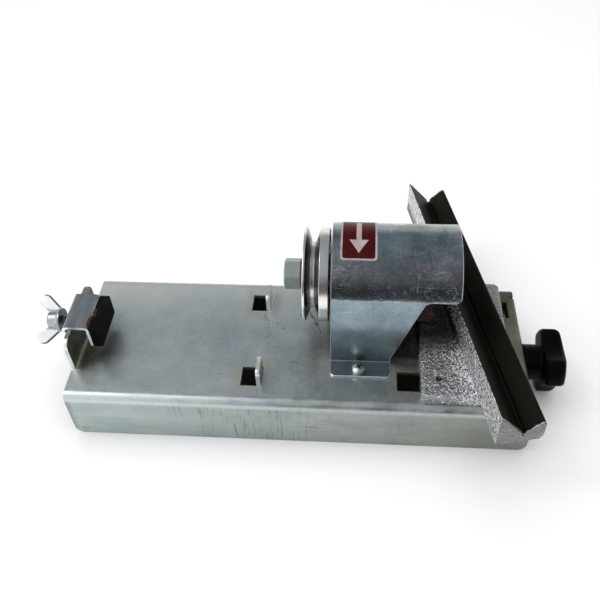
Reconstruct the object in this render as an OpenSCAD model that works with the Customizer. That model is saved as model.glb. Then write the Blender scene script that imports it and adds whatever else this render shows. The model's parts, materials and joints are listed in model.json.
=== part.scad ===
// Planer knife grinder: a pressed base channel carries a belt-driven spindle
// with a cup wheel under a sheet hood, a cast V-rail on a screw-fed foot and
// a small screw clamp. Millimetres, +Z up, +X from the clamp to the feed knob.

/* [Base plate] */
// Length of the base channel
base_l = 277.8; // [277:0.1:280]
// Width of the base channel
base_w = 101; // [100:0.5:104]
// Height of the base channel
base_h = 37; // [36:0.5:42]
// Sheet thickness of the base channel
base_t = 2.5; // [2:0.1:2.8]
// Outer radius of the long bends
base_r = 5; // [4:0.1:6]
// Height of the clamp ear above the base
ear_h = 23.3; // [22:0.1:25]
// Height of the two lanced stop tabs above the base
tab_h = 12.3; // [9:0.1:15]

/* [Spindle] */
// Height of the spindle axis above the base
axis_h = 40; // [39:0.1:44]
// Outer diameter of the belt pulley
pulley_d = 57; // [52:0.5:62]
// Depth of the belt groove
groove_d = 8.4; // [6:0.1:9]
// Diameter of the cup wheel
wheel_d = 54; // [48:0.5:55]
// Width across the flats of the pulley bolt
bolt_af = 17; // [15:0.5:19]

/* [Cover] */
// Inner radius of the hood
hood_ri = 30.8; // [30.4:0.1:31.5]
// Sheet thickness of the hood
cover_t = 1.2; // [0.9:0.1:1.5]

/* [Guide rail] */
// Length of the V-rail
rail_l = 203; // [190:1:205]
// Angle of the V-rail in plan
rail_ang = 11.64; // [10.5:0.1:12.5]
// Height of the sharp lip above the base
lip_h = 31.2; // [29:0.1:32.5]
// Thickness of the casting's foot
foot_t = 8; // [7.5:0.1:9]

/* [Feed knob] */
// Diameter over the lobes of the feed knob
knob_d = 42.2; // [40:0.2:44]
// Height of the feed screw's axis above the floor
feed_z = 23.2; // [22.8:0.1:24]

/* [Clamp] */
// Width of the clamp bracket
jaw_w = 28.7; // [26:0.1:32]
// Span over the wings of the wing bolt
wing_span = 31; // [28:0.5:34]

/* [Hidden] */
$fn = 64;
eps = 0.02;
top = base_h;                       // upper face of the base
y0 = base_w - 32;                   // spindle axis
z0 = top + axis_h;
feed_y = 50;                        // feed screw axis
clamp_y = 46.4;                     // wing bolt axis
clamp_z = top + 16.7;
row_f = [13.2, 27.2];               // front row of windows
row_b = [74.2, 88.2];               // rear row of windows
hood_x = [158.7, 232.2];
hood_ro = hood_ri + cover_t;
hood_c = [y0 - 1.2, z0 + 0.4];      // centre of the hood's round
rail_u = [cos(rail_ang), sin(rail_ang)];
rail_d = [sin(rail_ang), -cos(rail_ang)];
rail_mid = [229.36, 73.47];         // middle of the sharp lip in plan
rail_w = 26.7;
rail_back = rail_mid - rail_d * rail_l / 2;
rail_front = rail_mid + rail_d * rail_l / 2;
wing_tip_r = 4.1;
wing_tip_x = -19.9;
knob_back = 289.2;
knob_end = 300.2;
// centre of the outline in plan, which is put over the origin
ox = (wing_tip_x - wing_tip_r + knob_end) / 2;
oy = (rail_front[1] + rail_back[1] + rail_w * rail_u[1]) / 2;

// ---------------------------------------------------------------- helpers

module place() translate([-ox, -oy, 0]) children();

// box from corner a to corner b
module bx(a, b) translate(a) cube(b - a);

// flat outline in Y-Z, carried along X
module along_x(x0, x1) translate([x0, 0, 0]) rotate([90, 0, 90])
  linear_extrude(x1 - x0) children();

// flat outline in X-Z, carried along Y
module along_y(ya, yb) translate([0, yb, 0]) rotate([90, 0, 0])
  linear_extrude(yb - ya) children();

// round bar along X
module xbar(x0, x1, r, y = y0, z = z0) translate([x0, y, z])
  rotate([0, 90, 0]) cylinder(h = x1 - x0, r = r);

// tube along X
module xtube(x0, x1, ri, ro, y = y0, z = z0) difference() {
  xbar(x0, x1, ro, y, z);
  xbar(x0 - 1, x1 + 1, ri, y, z);
}

// hexagon bar along X
module xhex(x0, x1, af, turn = 0, y = y0, z = z0) translate([x0, y, z])
  rotate([0, 90, 0]) rotate([0, 0, turn])
    cylinder(h = x1 - x0, r = af / sqrt(3), $fn = 6);

// turned shape about the spindle axis: outline as [radius, x]
module turned(pts) translate([0, y0, z0]) rotate([0, 90, 0])
  rotate_extrude() polygon(pts);

// rectangle with round corners
module rrect(a, b, r) union() {
  translate([a[0] + r, a[1]]) square([b[0] - a[0] - 2 * r, b[1] - a[1]]);
  translate([a[0], a[1] + r]) square([b[0] - a[0], b[1] - a[1] - 2 * r]);
  for (x = [a[0] + r, b[0] - r], y = [a[1] + r, b[1] - r])
    translate([x, y]) circle(r);
}

// what is left of a square corner outside its round, in a flat outline;
// sx and sy point from the corner into the sheet
module corner_off(p, sx, sy, r) difference() {
  translate([p[0] - (sx < 0 ? r : 1), p[1] - (sy < 0 ? r : 1)])
    square([r + 1, r + 1]);
  translate([p[0] + sx * r, p[1] + sy * r]) circle(r);
}

// ---------------------------------------------------------------- base

module base_section() difference() {
  union() {
    square([base_w, base_h - base_r]);
    translate([base_r, 0]) square([base_w - 2 * base_r, base_h]);
    for (y = [base_r, base_w - base_r])
      translate([y, base_h - base_r]) circle(base_r);
  }
  union() {
    translate([base_t, -1])
      square([base_w - 2 * base_t, base_h - base_r + 1]);
    translate([base_r, -1])
      square([base_w - 2 * base_r, base_h - base_t + 1]);
    for (y = [base_r, base_w - base_r])
      translate([y, base_h - base_r]) circle(base_r - base_t);
  }
}

// sheet that turns up out of the base at x, with its bend
module upturn(x, ri, h) {
  cx = x + base_t + ri;
  cz = top + ri;
  difference() {
    translate([cx, cz]) circle(ri + base_t);
    translate([cx, cz]) circle(ri);
    translate([cx - 20, cz]) square([40, 20]);
    translate([cx, cz - 20]) square([20, 40]);
  }
  translate([x, cz - eps]) square([base_t, top + h - cz + eps]);
  translate([cx - eps, top - base_t]) square([1, base_t]);
}

module ear() difference() {
  along_y(20.8, 73.6) upturn(0, 2.5, ear_h);
  along_x(-5, 12) corner_off([20.8, top + ear_h], 1, -1, 5);
  along_x(-5, 12) corner_off([73.6, top + ear_h], -1, -1, 7);
  xbar(-5, 12, 3.05, clamp_y, clamp_z);
}

module tab(row) difference() {
  along_y(row[0], row[1]) upturn(115.5, 1.5, tab_h);
  along_x(110, 125) corner_off([row[0], top + tab_h], 1, -1, 3);
  along_x(110, 125) corner_off([row[1], top + tab_h], -1, -1, 3);
}

module end_wall() difference() {
  along_y(8, base_w - 8) {
    difference() {
      translate([base_l - 5, top - 5]) circle(5);
      translate([base_l - 5, top - 5]) circle(5 - base_t);
      translate([base_l - 25, top - 25]) square([20, 40]);
      translate([base_l - 25, top - 25]) square([40, 20]);
    }
    translate([base_l - base_t, 6]) square([base_t, top - 11 + eps]);
    translate([base_l - 6, top - base_t]) square([1 + eps, base_t]);
  }
  xbar(base_l - 10, base_l + 5, 6.02, feed_y, feed_z);
  along_x(base_l - 8, base_l + 5) corner_off([8, 6], 1, 1, 6);
  along_x(base_l - 8, base_l + 5) corner_off([base_w - 8, 6], -1, 1, 6);
}

module base_plate() color([0.72, 0.73, 0.70]) place() {
  difference() {
    along_x(0, base_l) base_section();
    // round lower corners of both flanges
    along_y(-5, base_w + 5) corner_off([0, 0], 1, 1, 6);
    along_y(-5, base_w + 5) corner_off([base_l, 0], -1, 1, 6);
    // room for the ear, the tabs and the end wall
    bx([-1, 19.8, top - 8], [7.5, 74.6, top + 1]);
    for (row = [row_f, row_b])
      bx([105.6, row[0], top - 8], [119.5, row[1], top + 1]);
    bx([base_l - 5.5, 7.6, top - 8], [base_l + 1, base_w - 7.6, top + 1]);
    // rear flange cut a little short, with a round corner
    bx([base_l - 1.5, base_w - 7.6, -1], [base_l + 1, base_w + 1, base_h + 1]);
    translate([0, 0, -1]) linear_extrude(base_h + 2)
      corner_off([base_l - 1.5, base_w], -1, -1, 3.4);
    // long guide windows and the nut's slot under the foot
    for (row = [row_f, row_b])
      bx([198.8, row[0], top - 8], [271.5, row[1], top + 1]);
    bx([221, 41, top - 8], [257, 59, top + 1]);
    // screw holes
    translate([176, 26.6, top - 8]) cylinder(h = 10, r = 2.05);
    for (x = [167, 187], y = [46, 89.5])
      translate([x, y, top - 8]) cylinder(h = 10, r = 3.3);
    for (x = [168, 190]) translate([x, base_w + 1, 22]) rotate([90, 0, 0])
      cylinder(h = 8, r = 2.05);
  }
  ear();
  // the strip between the ear's bend and the plate
  bx([5.5, 19.8, top - base_t], [7.6, 74.6, top]);
  tab(row_f);
  tab(row_b);
  end_wall();
}

// ---------------------------------------------------------------- cover

crease = hood_c + hood_ro * [-cos(18), sin(18)];
crease_in = hood_c + hood_ri * [-cos(18), sin(18)];
wall_foot = 34;

module cover_section() {
  intersection() {
    difference() {
      translate(hood_c) circle(hood_ro);
      translate(hood_c) circle(hood_ri);
    }
    translate(hood_c) polygon([[0, 0], 60 * [cos(3), -sin(3)], [60, 60],
      [-60, 60], 60 * [-cos(18), sin(18)]]);
  }
  // front wall, whose upper edge reaches into the round
  polygon([crease, [wall_foot, top], [wall_foot + cover_t, top], crease_in,
    hood_c + (hood_ri + 0.1) * [-cos(19), sin(19)],
    hood_c + (hood_ro - 0.1) * [-cos(19), sin(19)]]);
  translate([22, top]) square([wall_foot + cover_t - 22, cover_t]);
  // rear wall, which leans out over the base's rear flange
  polygon([hood_c + (hood_ro - 0.1) * [cos(2), -sin(2)],
    hood_c + (hood_ri + 0.1) * [cos(2), -sin(2)],
    hood_c + hood_ri * [cos(3), -sin(3)], [base_w, top - 3], [base_w, 12],
    [base_w + cover_t, 12], [base_w + cover_t, top - 3],
    hood_c + hood_ro * [cos(3), -sin(3)]]);
}

// sheet cut away under the cantilevered end of the hood
module diagonal_cut(xa, za, zb) {
  xb = 213;
  d = [xb - xa, zb - za] / norm([xb - xa, zb - za]);
  r = 5;
  c = [xa + (zb - r - za) * (xb - xa) / (zb - za) + r / d[1], zb - r];
  polygon([[xa, za - 60], [xa, za], c + r * [-d[1], d[0]], c, [c[0], zb],
    [260, zb], [260, za - 60]]);
  translate(c) circle(r);
}

module spindle_cover() color([0.70, 0.73, 0.78]) place() difference() {
  along_x(hood_x[0], hood_x[1]) cover_section();
  along_y(10, crease_in[0] + 0.4) diagonal_cut(195, top + 1.5, crease[1] - 0.6);
  along_y(y0 + 20, base_w + 5) diagonal_cut(200, 40, z0 + 5.4);
  // round corners of the hood's free end, the flange and the rear wall
  along_y(10, y0) corner_off([hood_x[1], crease[1] - 0.6], -1, 1, 4);
  along_y(y0, base_w + 5) corner_off([hood_x[1], z0 + 5.4], -1, 1, 4);
  along_y(y0 + 20, base_w + 5) corner_off([hood_x[0], 12], 1, 1, 4);
  along_y(y0 + 20, base_w + 5) corner_off([200, 12], -1, 1, 4);
  translate([0, 0, top - 1]) linear_extrude(3) {
    corner_off([hood_x[0], 22], 1, 1, 3);
    corner_off([195, 22], -1, 1, 3);
  }
  translate([176, 26.6, top - 2]) cylinder(h = 6, r = 2.3);
  for (x = [168, 190]) translate([x, base_w + 5, 22]) rotate([90, 0, 0])
    cylinder(h = 8, r = 2.3);
}

module label_plate() color([0.62, 0.08, 0.10]) place() intersection() {
  xtube(163.6, 184.4, hood_ro + 0.01, hood_ro + 0.3, hood_c[0], hood_c[1]);
  along_x(160, 190) translate(hood_c) polygon([[0, 0],
    60 * [cos(38), sin(38)], 60 * [cos(66), sin(66)],
    60 * [cos(94), sin(94)], 60 * [cos(120), sin(120)]]);
}

// pan head screw pointing down -Z with its seat at z = 0
module pan_screw(l) difference() {
  union() {
    translate([0, 0, -l]) cylinder(h = l + 1, r = 2);
    cylinder(h = 1.7, r = 4);
    intersection() {
      translate([0, 0, 1.2]) cylinder(h = 4, r = 4);
      translate([0, 0, -3.6]) sphere(r = 6.6);
    }
  }
  for (a = [0, 90]) rotate([0, 0, a + 30])
    translate([-2, -0.4, 1.4]) cube([4, 0.8, 4]);
}

module cover_screws() color([0.80, 0.80, 0.78]) place() {
  translate([176, 26.6, top + cover_t + 1.1]) pan_screw(8);
  for (x = [168, 190]) translate([x, base_w + cover_t + 1.1, 22])
    rotate([-90, 0, 0]) pan_screw(8);
}

// split spring washer lying on z = 0
module spring_washer() difference() {
  cylinder(h = 1.1, r = 3.8);
  translate([0, 0, -1]) cylinder(h = 4, r = 2.1);
  rotate([0, 0, 25]) translate([0, -0.4, -1]) cube([6, 0.8, 4]);
}

module cover_spring_washers() color([0.75, 0.75, 0.73]) place() {
  translate([176, 26.6, top + cover_t]) spring_washer();
  for (x = [168, 190]) translate([x, base_w + cover_t, 22])
    rotate([-90, 0, 0]) spring_washer();
}

// ---------------------------------------------------------------- spindle

module spindle_housing() color([0.55, 0.56, 0.57]) place() difference() {
  union() {
    xbar(160, 194, 24);
    along_x(163, 191) translate([y0 - 14, top + 4]) square([28, axis_h - 10]);
    translate([0, 0, top]) linear_extrude(foot_t)
      rrect([158.9, 38.5], [195, 97.5], 4);
  }
  xbar(159, 173, 17.52);
  xbar(172, 182, 14);
  xbar(181, 195, 17.52);
  xbar(161.7, 163.02, 18.6);
  xbar(190.98, 192.3, 18.6);
  for (x = [167, 187], y = [46, 89.5])
    translate([x, y, top - 1]) cylinder(h = 7.5, r = 3.02);
}

module housing_bolts() color([0.60, 0.60, 0.58]) place()
  for (x = [167, 187], y = [46, 89.5]) translate([x, y, 0]) {
    translate([0, 0, top - base_t - 1.6 - 4])
      cylinder(h = 4, r = 10 / sqrt(3), $fn = 6);
    translate([0, 0, top - base_t - 2]) cylinder(h = base_t + 2 + 6, r = 3);
  }

module housing_washers() color([0.65, 0.65, 0.63]) place()
  for (x = [167, 187], y = [46, 89.5])
    translate([x, y, top - base_t - 1.6]) difference() {
      cylinder(h = 1.6, r = 6);
      translate([0, 0, -1]) cylinder(h = 4, r = 3.2);
    }

ball_n = 8;
bearing_x = [163, 181];

module bearing_outer_rings() color([0.75, 0.76, 0.78]) place()
  for (x = bearing_x) translate([x, y0, z0]) rotate([0, 90, 0])
    rotate_extrude() difference() {
      translate([14.6, 0]) square([2.9, 10]);
      translate([13, 5]) circle(2.5);
    }

module bearing_inner_rings() color([0.78, 0.78, 0.80]) place()
  for (x = bearing_x) translate([x, y0, z0]) rotate([0, 90, 0])
    rotate_extrude() difference() {
      translate([8.52, 0]) square([2.88, 10]);
      translate([13, 5]) circle(2.5);
    }

module bearing_balls() color([0.85, 0.85, 0.86]) place()
  for (x = bearing_x, i = [0 : ball_n - 1])
    translate([x + 5, y0, z0]) rotate([i * 360 / ball_n, 0, 0])
      translate([0, 13, 0]) sphere(r = 2.4);

module housing_circlips() color([0.35, 0.35, 0.36]) place()
  for (x = [161.75, 191.03]) difference() {
    xtube(x, x + 1.2, 15.6, 18.5);
    bx([x - 1, y0 - 2.5, z0 + 10], [x + 3, y0 + 2.5, z0 + 20]);
  }

module spindle_shaft() color([0.66, 0.66, 0.68]) place() difference() {
  union() {
    xbar(142.6, 199, 8.5);
    xbar(173, 181, 10.5);
    xbar(198, 216, 7);
  }
  xbar(141, 163, 5);
  bx([143.2, y0 - 2.53, z0 + 5.5], [156.5, y0 + 2.53, z0 + 12]);
}

module pulley_key() color([0.50, 0.50, 0.52]) place()
  bx([143.3, y0 - 2.5, z0 + 5.55], [156.4, y0 + 2.5, z0 + 10.8]);

pr = pulley_d / 2;
pulley_x = [141.9, 157.2];
groove_x = [143.3, 151.7];
groove_in = 3.1;                    // how far each flank leans in

module v_pulley() color([0.80, 0.80, 0.80]) place() difference() {
  turned([[8.52, pulley_x[0]], [pr - 0.4, pulley_x[0]],
    [pr, pulley_x[0] + 0.4], [pr, groove_x[0]],
    [pr - groove_d, groove_x[0] + groove_in],
    [pr - groove_d, groove_x[1] - groove_in], [pr, groove_x[1]],
    [pr, pulley_x[1] - 0.4], [pr - 0.4, pulley_x[1]], [8.52, pulley_x[1]]]);
  bx([141, y0 - 2.53, z0], [158, y0 + 2.53, z0 + 10.85]);
}

module pulley_washer() color([0.45, 0.45, 0.44]) place()
  xtube(139.4, pulley_x[0], 5.2, 9.3);

module pulley_bolt() color([0.78, 0.79, 0.74]) place() {
  intersection() {
    xhex(129.8, 139.4, bolt_af, 0);
    turned([[0, 129.8], [bolt_af / 2 - 0.3, 129.8], [bolt_af / 2 + 2.2, 131.3],
      [bolt_af / 2 + 2.2, 139.4], [0, 139.4]]);
  }
  xbar(139, 161, 4.95);
}

module spindle_spacer() color([0.62, 0.62, 0.64]) place()
  xtube(pulley_x[1], 163, 8.52, 11);

module wheel_flange() color([0.60, 0.60, 0.62]) place()
  turned([[8.52, 191], [11, 191], [11, 195], [16, 195], [16, 199],
    [8.52, 199]]);

wr = wheel_d / 2;

module cup_wheel() color([0.36, 0.17, 0.13]) place()
  turned([[7.05, 199], [wr - 2, 199], [wr, 201], [wr, 217], [wr - 7, 217],
    [wr - 8, 207], [7.05, 207]]);

module wheel_washer() color([0.60, 0.60, 0.62]) place()
  xtube(207, 209, 7.05, 15);

module wheel_nut() color([0.68, 0.68, 0.66]) place() difference() {
  xhex(209, 215.5, 22, 15);
  xbar(208, 217, 7.05);
}

// ---------------------------------------------------------------- carriage

gap = 0.1;                          // foot to base

module rail_section() difference() {
  polygon([[0, foot_t - 0.6], [0, lip_h - 0.7], [0.5, lip_h],
    [15.1, 13.8], [24.3, 22.1], [25.6, 22.2], [26.4, 21],
    [rail_w, 16], [26.4, 9.4], [24.8, foot_t - 0.6]]);
  translate([15.1, 13.9]) circle(1.4);
}

module guide_rail() color([0.72, 0.72, 0.72]) place() difference() {
  union() {
    translate([rail_back[0], rail_back[1], top])
      rotate([90, 0, rail_ang]) linear_extrude(rail_l) rail_section();
    translate([0, 0, top + gap]) linear_extrude(foot_t - gap)
      rrect([212, 4.5], [266.3, 98], 4);
    // guide lugs in the long windows
    for (row = [row_f, row_b])
      bx([222, row[0] + 0.2, top - base_t - 0.35],
        [256, row[1] - 0.2, top + 2]);
    // lug for the feed nut
    bx([230, feed_y - 7.8, feed_z - 11], [248, feed_y + 7.8, top + 2]);
  }
  xbar(229, 249, 7.02, feed_y, feed_z);
  for (x = [229.5, 248.5], row = [row_f, row_b])
    translate([x, (row[0] + row[1]) / 2, top - 6])
      cylinder(h = 11.5, r = 2.02);
  // small mark left by a moulding pin
  translate([222.7, 17.4, top + foot_t - 0.8]) cylinder(h = 3, r = 1.7);
}

module feed_nut() color([0.72, 0.56, 0.30]) place()
  xtube(230, 248, 4.05, 7, feed_y, feed_z);

module carriage_keepers() color([0.58, 0.58, 0.57]) place()
  for (row = [row_f, row_b]) difference() {
    bx([220, row[0] - 5, top - base_t - 3.35],
      [258, row[1] + 5, top - base_t - 0.35]);
    for (x = [229.5, 248.5])
      translate([x, (row[0] + row[1]) / 2, top - 12])
        cylinder(h = 20, r = 2.2);
  }

module keeper_screws() color([0.70, 0.70, 0.68]) place()
  for (x = [229.5, 248.5], row = [row_f, row_b])
    translate([x, (row[0] + row[1]) / 2, top - base_t - 3.35])
      rotate([180, 0, 0]) pan_screw(10);

// ---------------------------------------------------------------- feed

module feed_bush() color([0.70, 0.55, 0.30]) place() difference() {
  union() {
    xbar(base_l - base_t - 1, base_l, 6, feed_y, feed_z);
    xbar(base_l - base_t - 2, base_l - base_t, 9, feed_y, feed_z);
  }
  xbar(base_l - 10, base_l + 5, 4.05, feed_y, feed_z);
}

// round head with a shallow hollow between the three lobes
module knob_outline() difference() {
  circle(knob_d / 2);
  for (a = [0 : 120 : 240]) rotate([0, 0, a + 60])
    translate([knob_d * 1.047, 0]) circle(knob_d * 0.715);
}

module feed_knob() color([0.06, 0.06, 0.06]) place() difference() {
  union() {
    xbar(base_l + 0.3, knob_back + 1, 11.1, feed_y, feed_z);
    translate([0, feed_y, feed_z]) rotate([30, 0, 0])
      along_x(knob_back, knob_end) knob_outline();
  }
  xbar(base_l - 1, 294, 6.52, feed_y, feed_z);
}

module knob_insert() color([0.72, 0.58, 0.32]) place()
  xtube(base_l + 0.3, 293.5, 4.02, 6.5, feed_y, feed_z);

module feed_screw() color([0.62, 0.62, 0.63]) place()
  xbar(216, 293, 4, feed_y, feed_z);

collar_x = base_l - base_t - 10.5;

module feed_collar() color([0.58, 0.58, 0.58]) place() difference() {
  xtube(collar_x, collar_x + 8.2, 4.02, 8, feed_y, feed_z);
  translate([collar_x + 4.1, feed_y, feed_z - 12]) cylinder(h = 12, r = 2.03);
}

module collar_screw() color([0.20, 0.20, 0.20]) place()
  translate([collar_x + 4.1, feed_y, feed_z - 7.8]) difference() {
    cylinder(h = 3.7, r = 2);
    translate([0, 0, -1]) cylinder(h = 2.5, r = 1.1, $fn = 6);
  }

// ---------------------------------------------------------------- clamp

jt = 1.8;                           // bracket sheet
jx = [-3.5, 13.1];
jz = top + ear_h + 0.3 + jt;        // upper face of the bracket
jy = [clamp_y - jaw_w / 2 + 0.2, clamp_y + jaw_w / 2 + 0.2];
leg_z = top + 9.3;

module clamp_bracket() color([0.66, 0.69, 0.75]) place() difference() {
  along_y(jy[0], jy[1]) difference() {
    union() {
      translate([jx[0], leg_z])
        square([jx[1] - jx[0], jz - leg_z - 2.8]);
      translate([jx[0] + 2.8, leg_z])
        square([jx[1] - jx[0] - 5.6, jz - leg_z]);
      for (x = [jx[0] + 2.8, jx[1] - 2.8])
        translate([x, jz - 2.8]) circle(2.8);
    }
    union() {
      translate([jx[0] + jt, leg_z - 1])
        square([jx[1] - jx[0] - 2 * jt, jz - leg_z - 2.8 + 1]);
      translate([jx[0] + 2.8, leg_z - 1])
        square([jx[1] - jx[0] - 5.6, jz - jt - leg_z + 1]);
      for (x = [jx[0] + 2.8, jx[1] - 2.8])
        translate([x, jz - 2.8]) circle(2.8 - jt);
    }
  }
  xbar(jx[0] - 1, jx[0] + 4, 3.4, clamp_y, clamp_z);
  xbar(jx[1] - 4, jx[1] + 1, 2.55, clamp_y, clamp_z);
  for (y = [jy[0] + 4, jy[1] - 4])
    xbar(jx[1] - 4, jx[1] + 1, 1.52, y, clamp_z - 1);
}

module clamp_pad() color([0.07, 0.07, 0.07]) place() difference() {
  bx([jx[1], jy[0], leg_z - 0.3], [jx[1] + 6, jy[1], jz - 1.2]);
  xbar(jx[1] - 1, jx[1] + 1.7, 8.6, clamp_y, clamp_z - 0.6);
  for (y = [jy[0] + 4, jy[1] - 4])
    xbar(jx[1] - 1, jx[1] + 4, 1.52, y, clamp_z - 1);
}

module pad_disc() color([0.55, 0.30, 0.12]) place()
  xtube(jx[1], jx[1] + 1.6, 4.6, 8.4, clamp_y, clamp_z - 0.6);

module pad_rivets() color([0.60, 0.60, 0.60]) place()
  for (y = [jy[0] + 4, jy[1] - 4]) {
    xbar(jx[1] - jt - 0.1, jx[1] + 3.8, 1.5, y, clamp_z - 1);
    xbar(jx[1] - jt - 1.1, jx[1] - jt, 2.6, y, clamp_z - 1);
  }

// one wing, flat in X-radius
module wing_outline() {
  t = [wing_tip_x, wing_span / 2 - wing_tip_r];
  polygon([[-8.6, 2], [-8.6, 6.2], t + wing_tip_r * [cos(46), sin(46)], t,
    t + wing_tip_r * [cos(234), sin(234)], [-17, 4.4], [-17, 2]]);
  translate(t) circle(wing_tip_r);
}

module wing_bolt() color([0.82, 0.84, 0.84]) place() {
  translate([0, clamp_y, clamp_z]) {
    rotate([0, 90, 0]) rotate_extrude() polygon([[0, -17.4], [4.6, -17.4],
      [5.4, -16.6], [6.4, -11.4], [7.1, -10.2], [7.4, -9.6], [7.4, -8.6],
      [7, -8.2], [3, -8.2], [3, 11.2], [2.5, 11.25], [2.5, 14.5],
      [0, 14.5]]);
    for (a = [40, 220]) rotate([a - 90, 0, 0]) along_y(-1.1, 1.1)
      wing_outline();
  }
}

module wing_bolt_clip() color([0.30, 0.30, 0.31]) place()
  xtube(jx[1] + 0.25, jx[1] + 1.05, 2.52, 3.7, clamp_y, clamp_z);

base_plate();
spindle_cover();
label_plate();
cover_screws();
cover_spring_washers();
spindle_housing();
housing_bolts();
housing_washers();
bearing_outer_rings();
housing_circlips();
feed_bush();
spindle_shaft();
pulley_key();
v_pulley();
pulley_washer();
pulley_bolt();
spindle_spacer();
bearing_inner_rings();
bearing_balls();
wheel_flange();
cup_wheel();
wheel_washer();
wheel_nut();
guide_rail();
feed_nut();
carriage_keepers();
keeper_screws();
feed_knob();
knob_insert();
feed_screw();
feed_collar();
collar_screw();
clamp_bracket();
clamp_pad();
pad_disc();
pad_rivets();
wing_bolt();
wing_bolt_clip();
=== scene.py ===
"""Looks of the planer knife grinder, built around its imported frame. Metres, +Z up."""

import json
import math

import bmesh
import bpy
import numpy as np
from mathutils import Matrix, Vector


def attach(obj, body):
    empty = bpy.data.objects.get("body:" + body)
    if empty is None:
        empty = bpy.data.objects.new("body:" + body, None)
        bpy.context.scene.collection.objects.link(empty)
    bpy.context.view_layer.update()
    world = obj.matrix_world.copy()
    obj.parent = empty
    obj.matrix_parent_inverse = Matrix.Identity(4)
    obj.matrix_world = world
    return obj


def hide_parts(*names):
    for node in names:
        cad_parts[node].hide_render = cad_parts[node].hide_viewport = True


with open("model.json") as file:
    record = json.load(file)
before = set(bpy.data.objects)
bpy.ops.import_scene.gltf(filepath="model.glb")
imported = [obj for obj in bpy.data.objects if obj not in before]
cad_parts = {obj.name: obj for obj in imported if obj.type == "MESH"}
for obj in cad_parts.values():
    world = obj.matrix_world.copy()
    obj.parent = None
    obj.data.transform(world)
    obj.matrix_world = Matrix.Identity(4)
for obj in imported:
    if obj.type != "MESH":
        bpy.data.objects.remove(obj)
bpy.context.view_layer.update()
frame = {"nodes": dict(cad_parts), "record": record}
NODES = frame["nodes"]
BODY = {n: b for b, ns in frame["record"]["behaviour"]["bodies"].items() for n in ns}
SLOT = {s["node"]: s["material_slot"] for s in frame["record"]["subparts"]}
MM = 0.001
OX, OY = 138.1, 76.1635  # drawing corner of the base to the part's origin, mm
SPIN_Y, SPIN_Z = 69.0, 77.0  # spindle axis
FEED_Y, FEED_Z = 50.0, 23.2  # feed screw axis
CLAMP_Y, CLAMP_Z = 46.4, 53.7  # wing bolt axis
TOP = 37.0  # upper face of the base
HOOD_Y, HOOD_Z, HOOD_R = 67.8, 77.4, 32.0
RAIL_A = math.radians(11.64)
RAIL_U = np.array([math.cos(RAIL_A), math.sin(RAIL_A)])
RAIL_D = np.array([math.sin(RAIL_A), -math.cos(RAIL_A)])
RAIL_L = 203.0
RAIL_BACK = np.array([229.36, 73.47]) - RAIL_D * RAIL_L / 2
MARK = (222.7, 17.4)  # mould mark on the rail's foot


def pt(x, y, z):
    """A point of the drawing, in mm, in the part's frame."""
    return Vector(((x - OX) * MM, (y - OY) * MM, z * MM))


# ------------------------------------------------------------------ camera


def make_camera():
    az, el, roll = math.radians(6.02), math.radians(46.19), math.radians(-2.75)
    back = Vector((math.sin(az) * math.cos(el), -math.cos(az) * math.cos(el), math.sin(el)))
    right = (-back).cross(Vector((0, 0, 1))).normalized()
    up = right.cross(-back)
    c, s = math.cos(roll), math.sin(roll)
    right, up = c * right + s * up, c * up - s * right
    cam = bpy.data.objects.new("camera", bpy.data.cameras.new("camera"))
    bpy.context.scene.collection.objects.link(cam)
    m = Matrix((right, up, back)).transposed().to_4x4()
    m.translation = Vector((0.03305, -0.3197335, 0.38141))
    cam.matrix_world = m
    cam.data.sensor_width = 36.0
    cam.data.lens = 43.157
    cam.data.clip_start, cam.data.clip_end = 0.01, 50.0
    bpy.context.scene.camera = cam


make_camera()

# ------------------------------------------------------------------ materials


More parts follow.
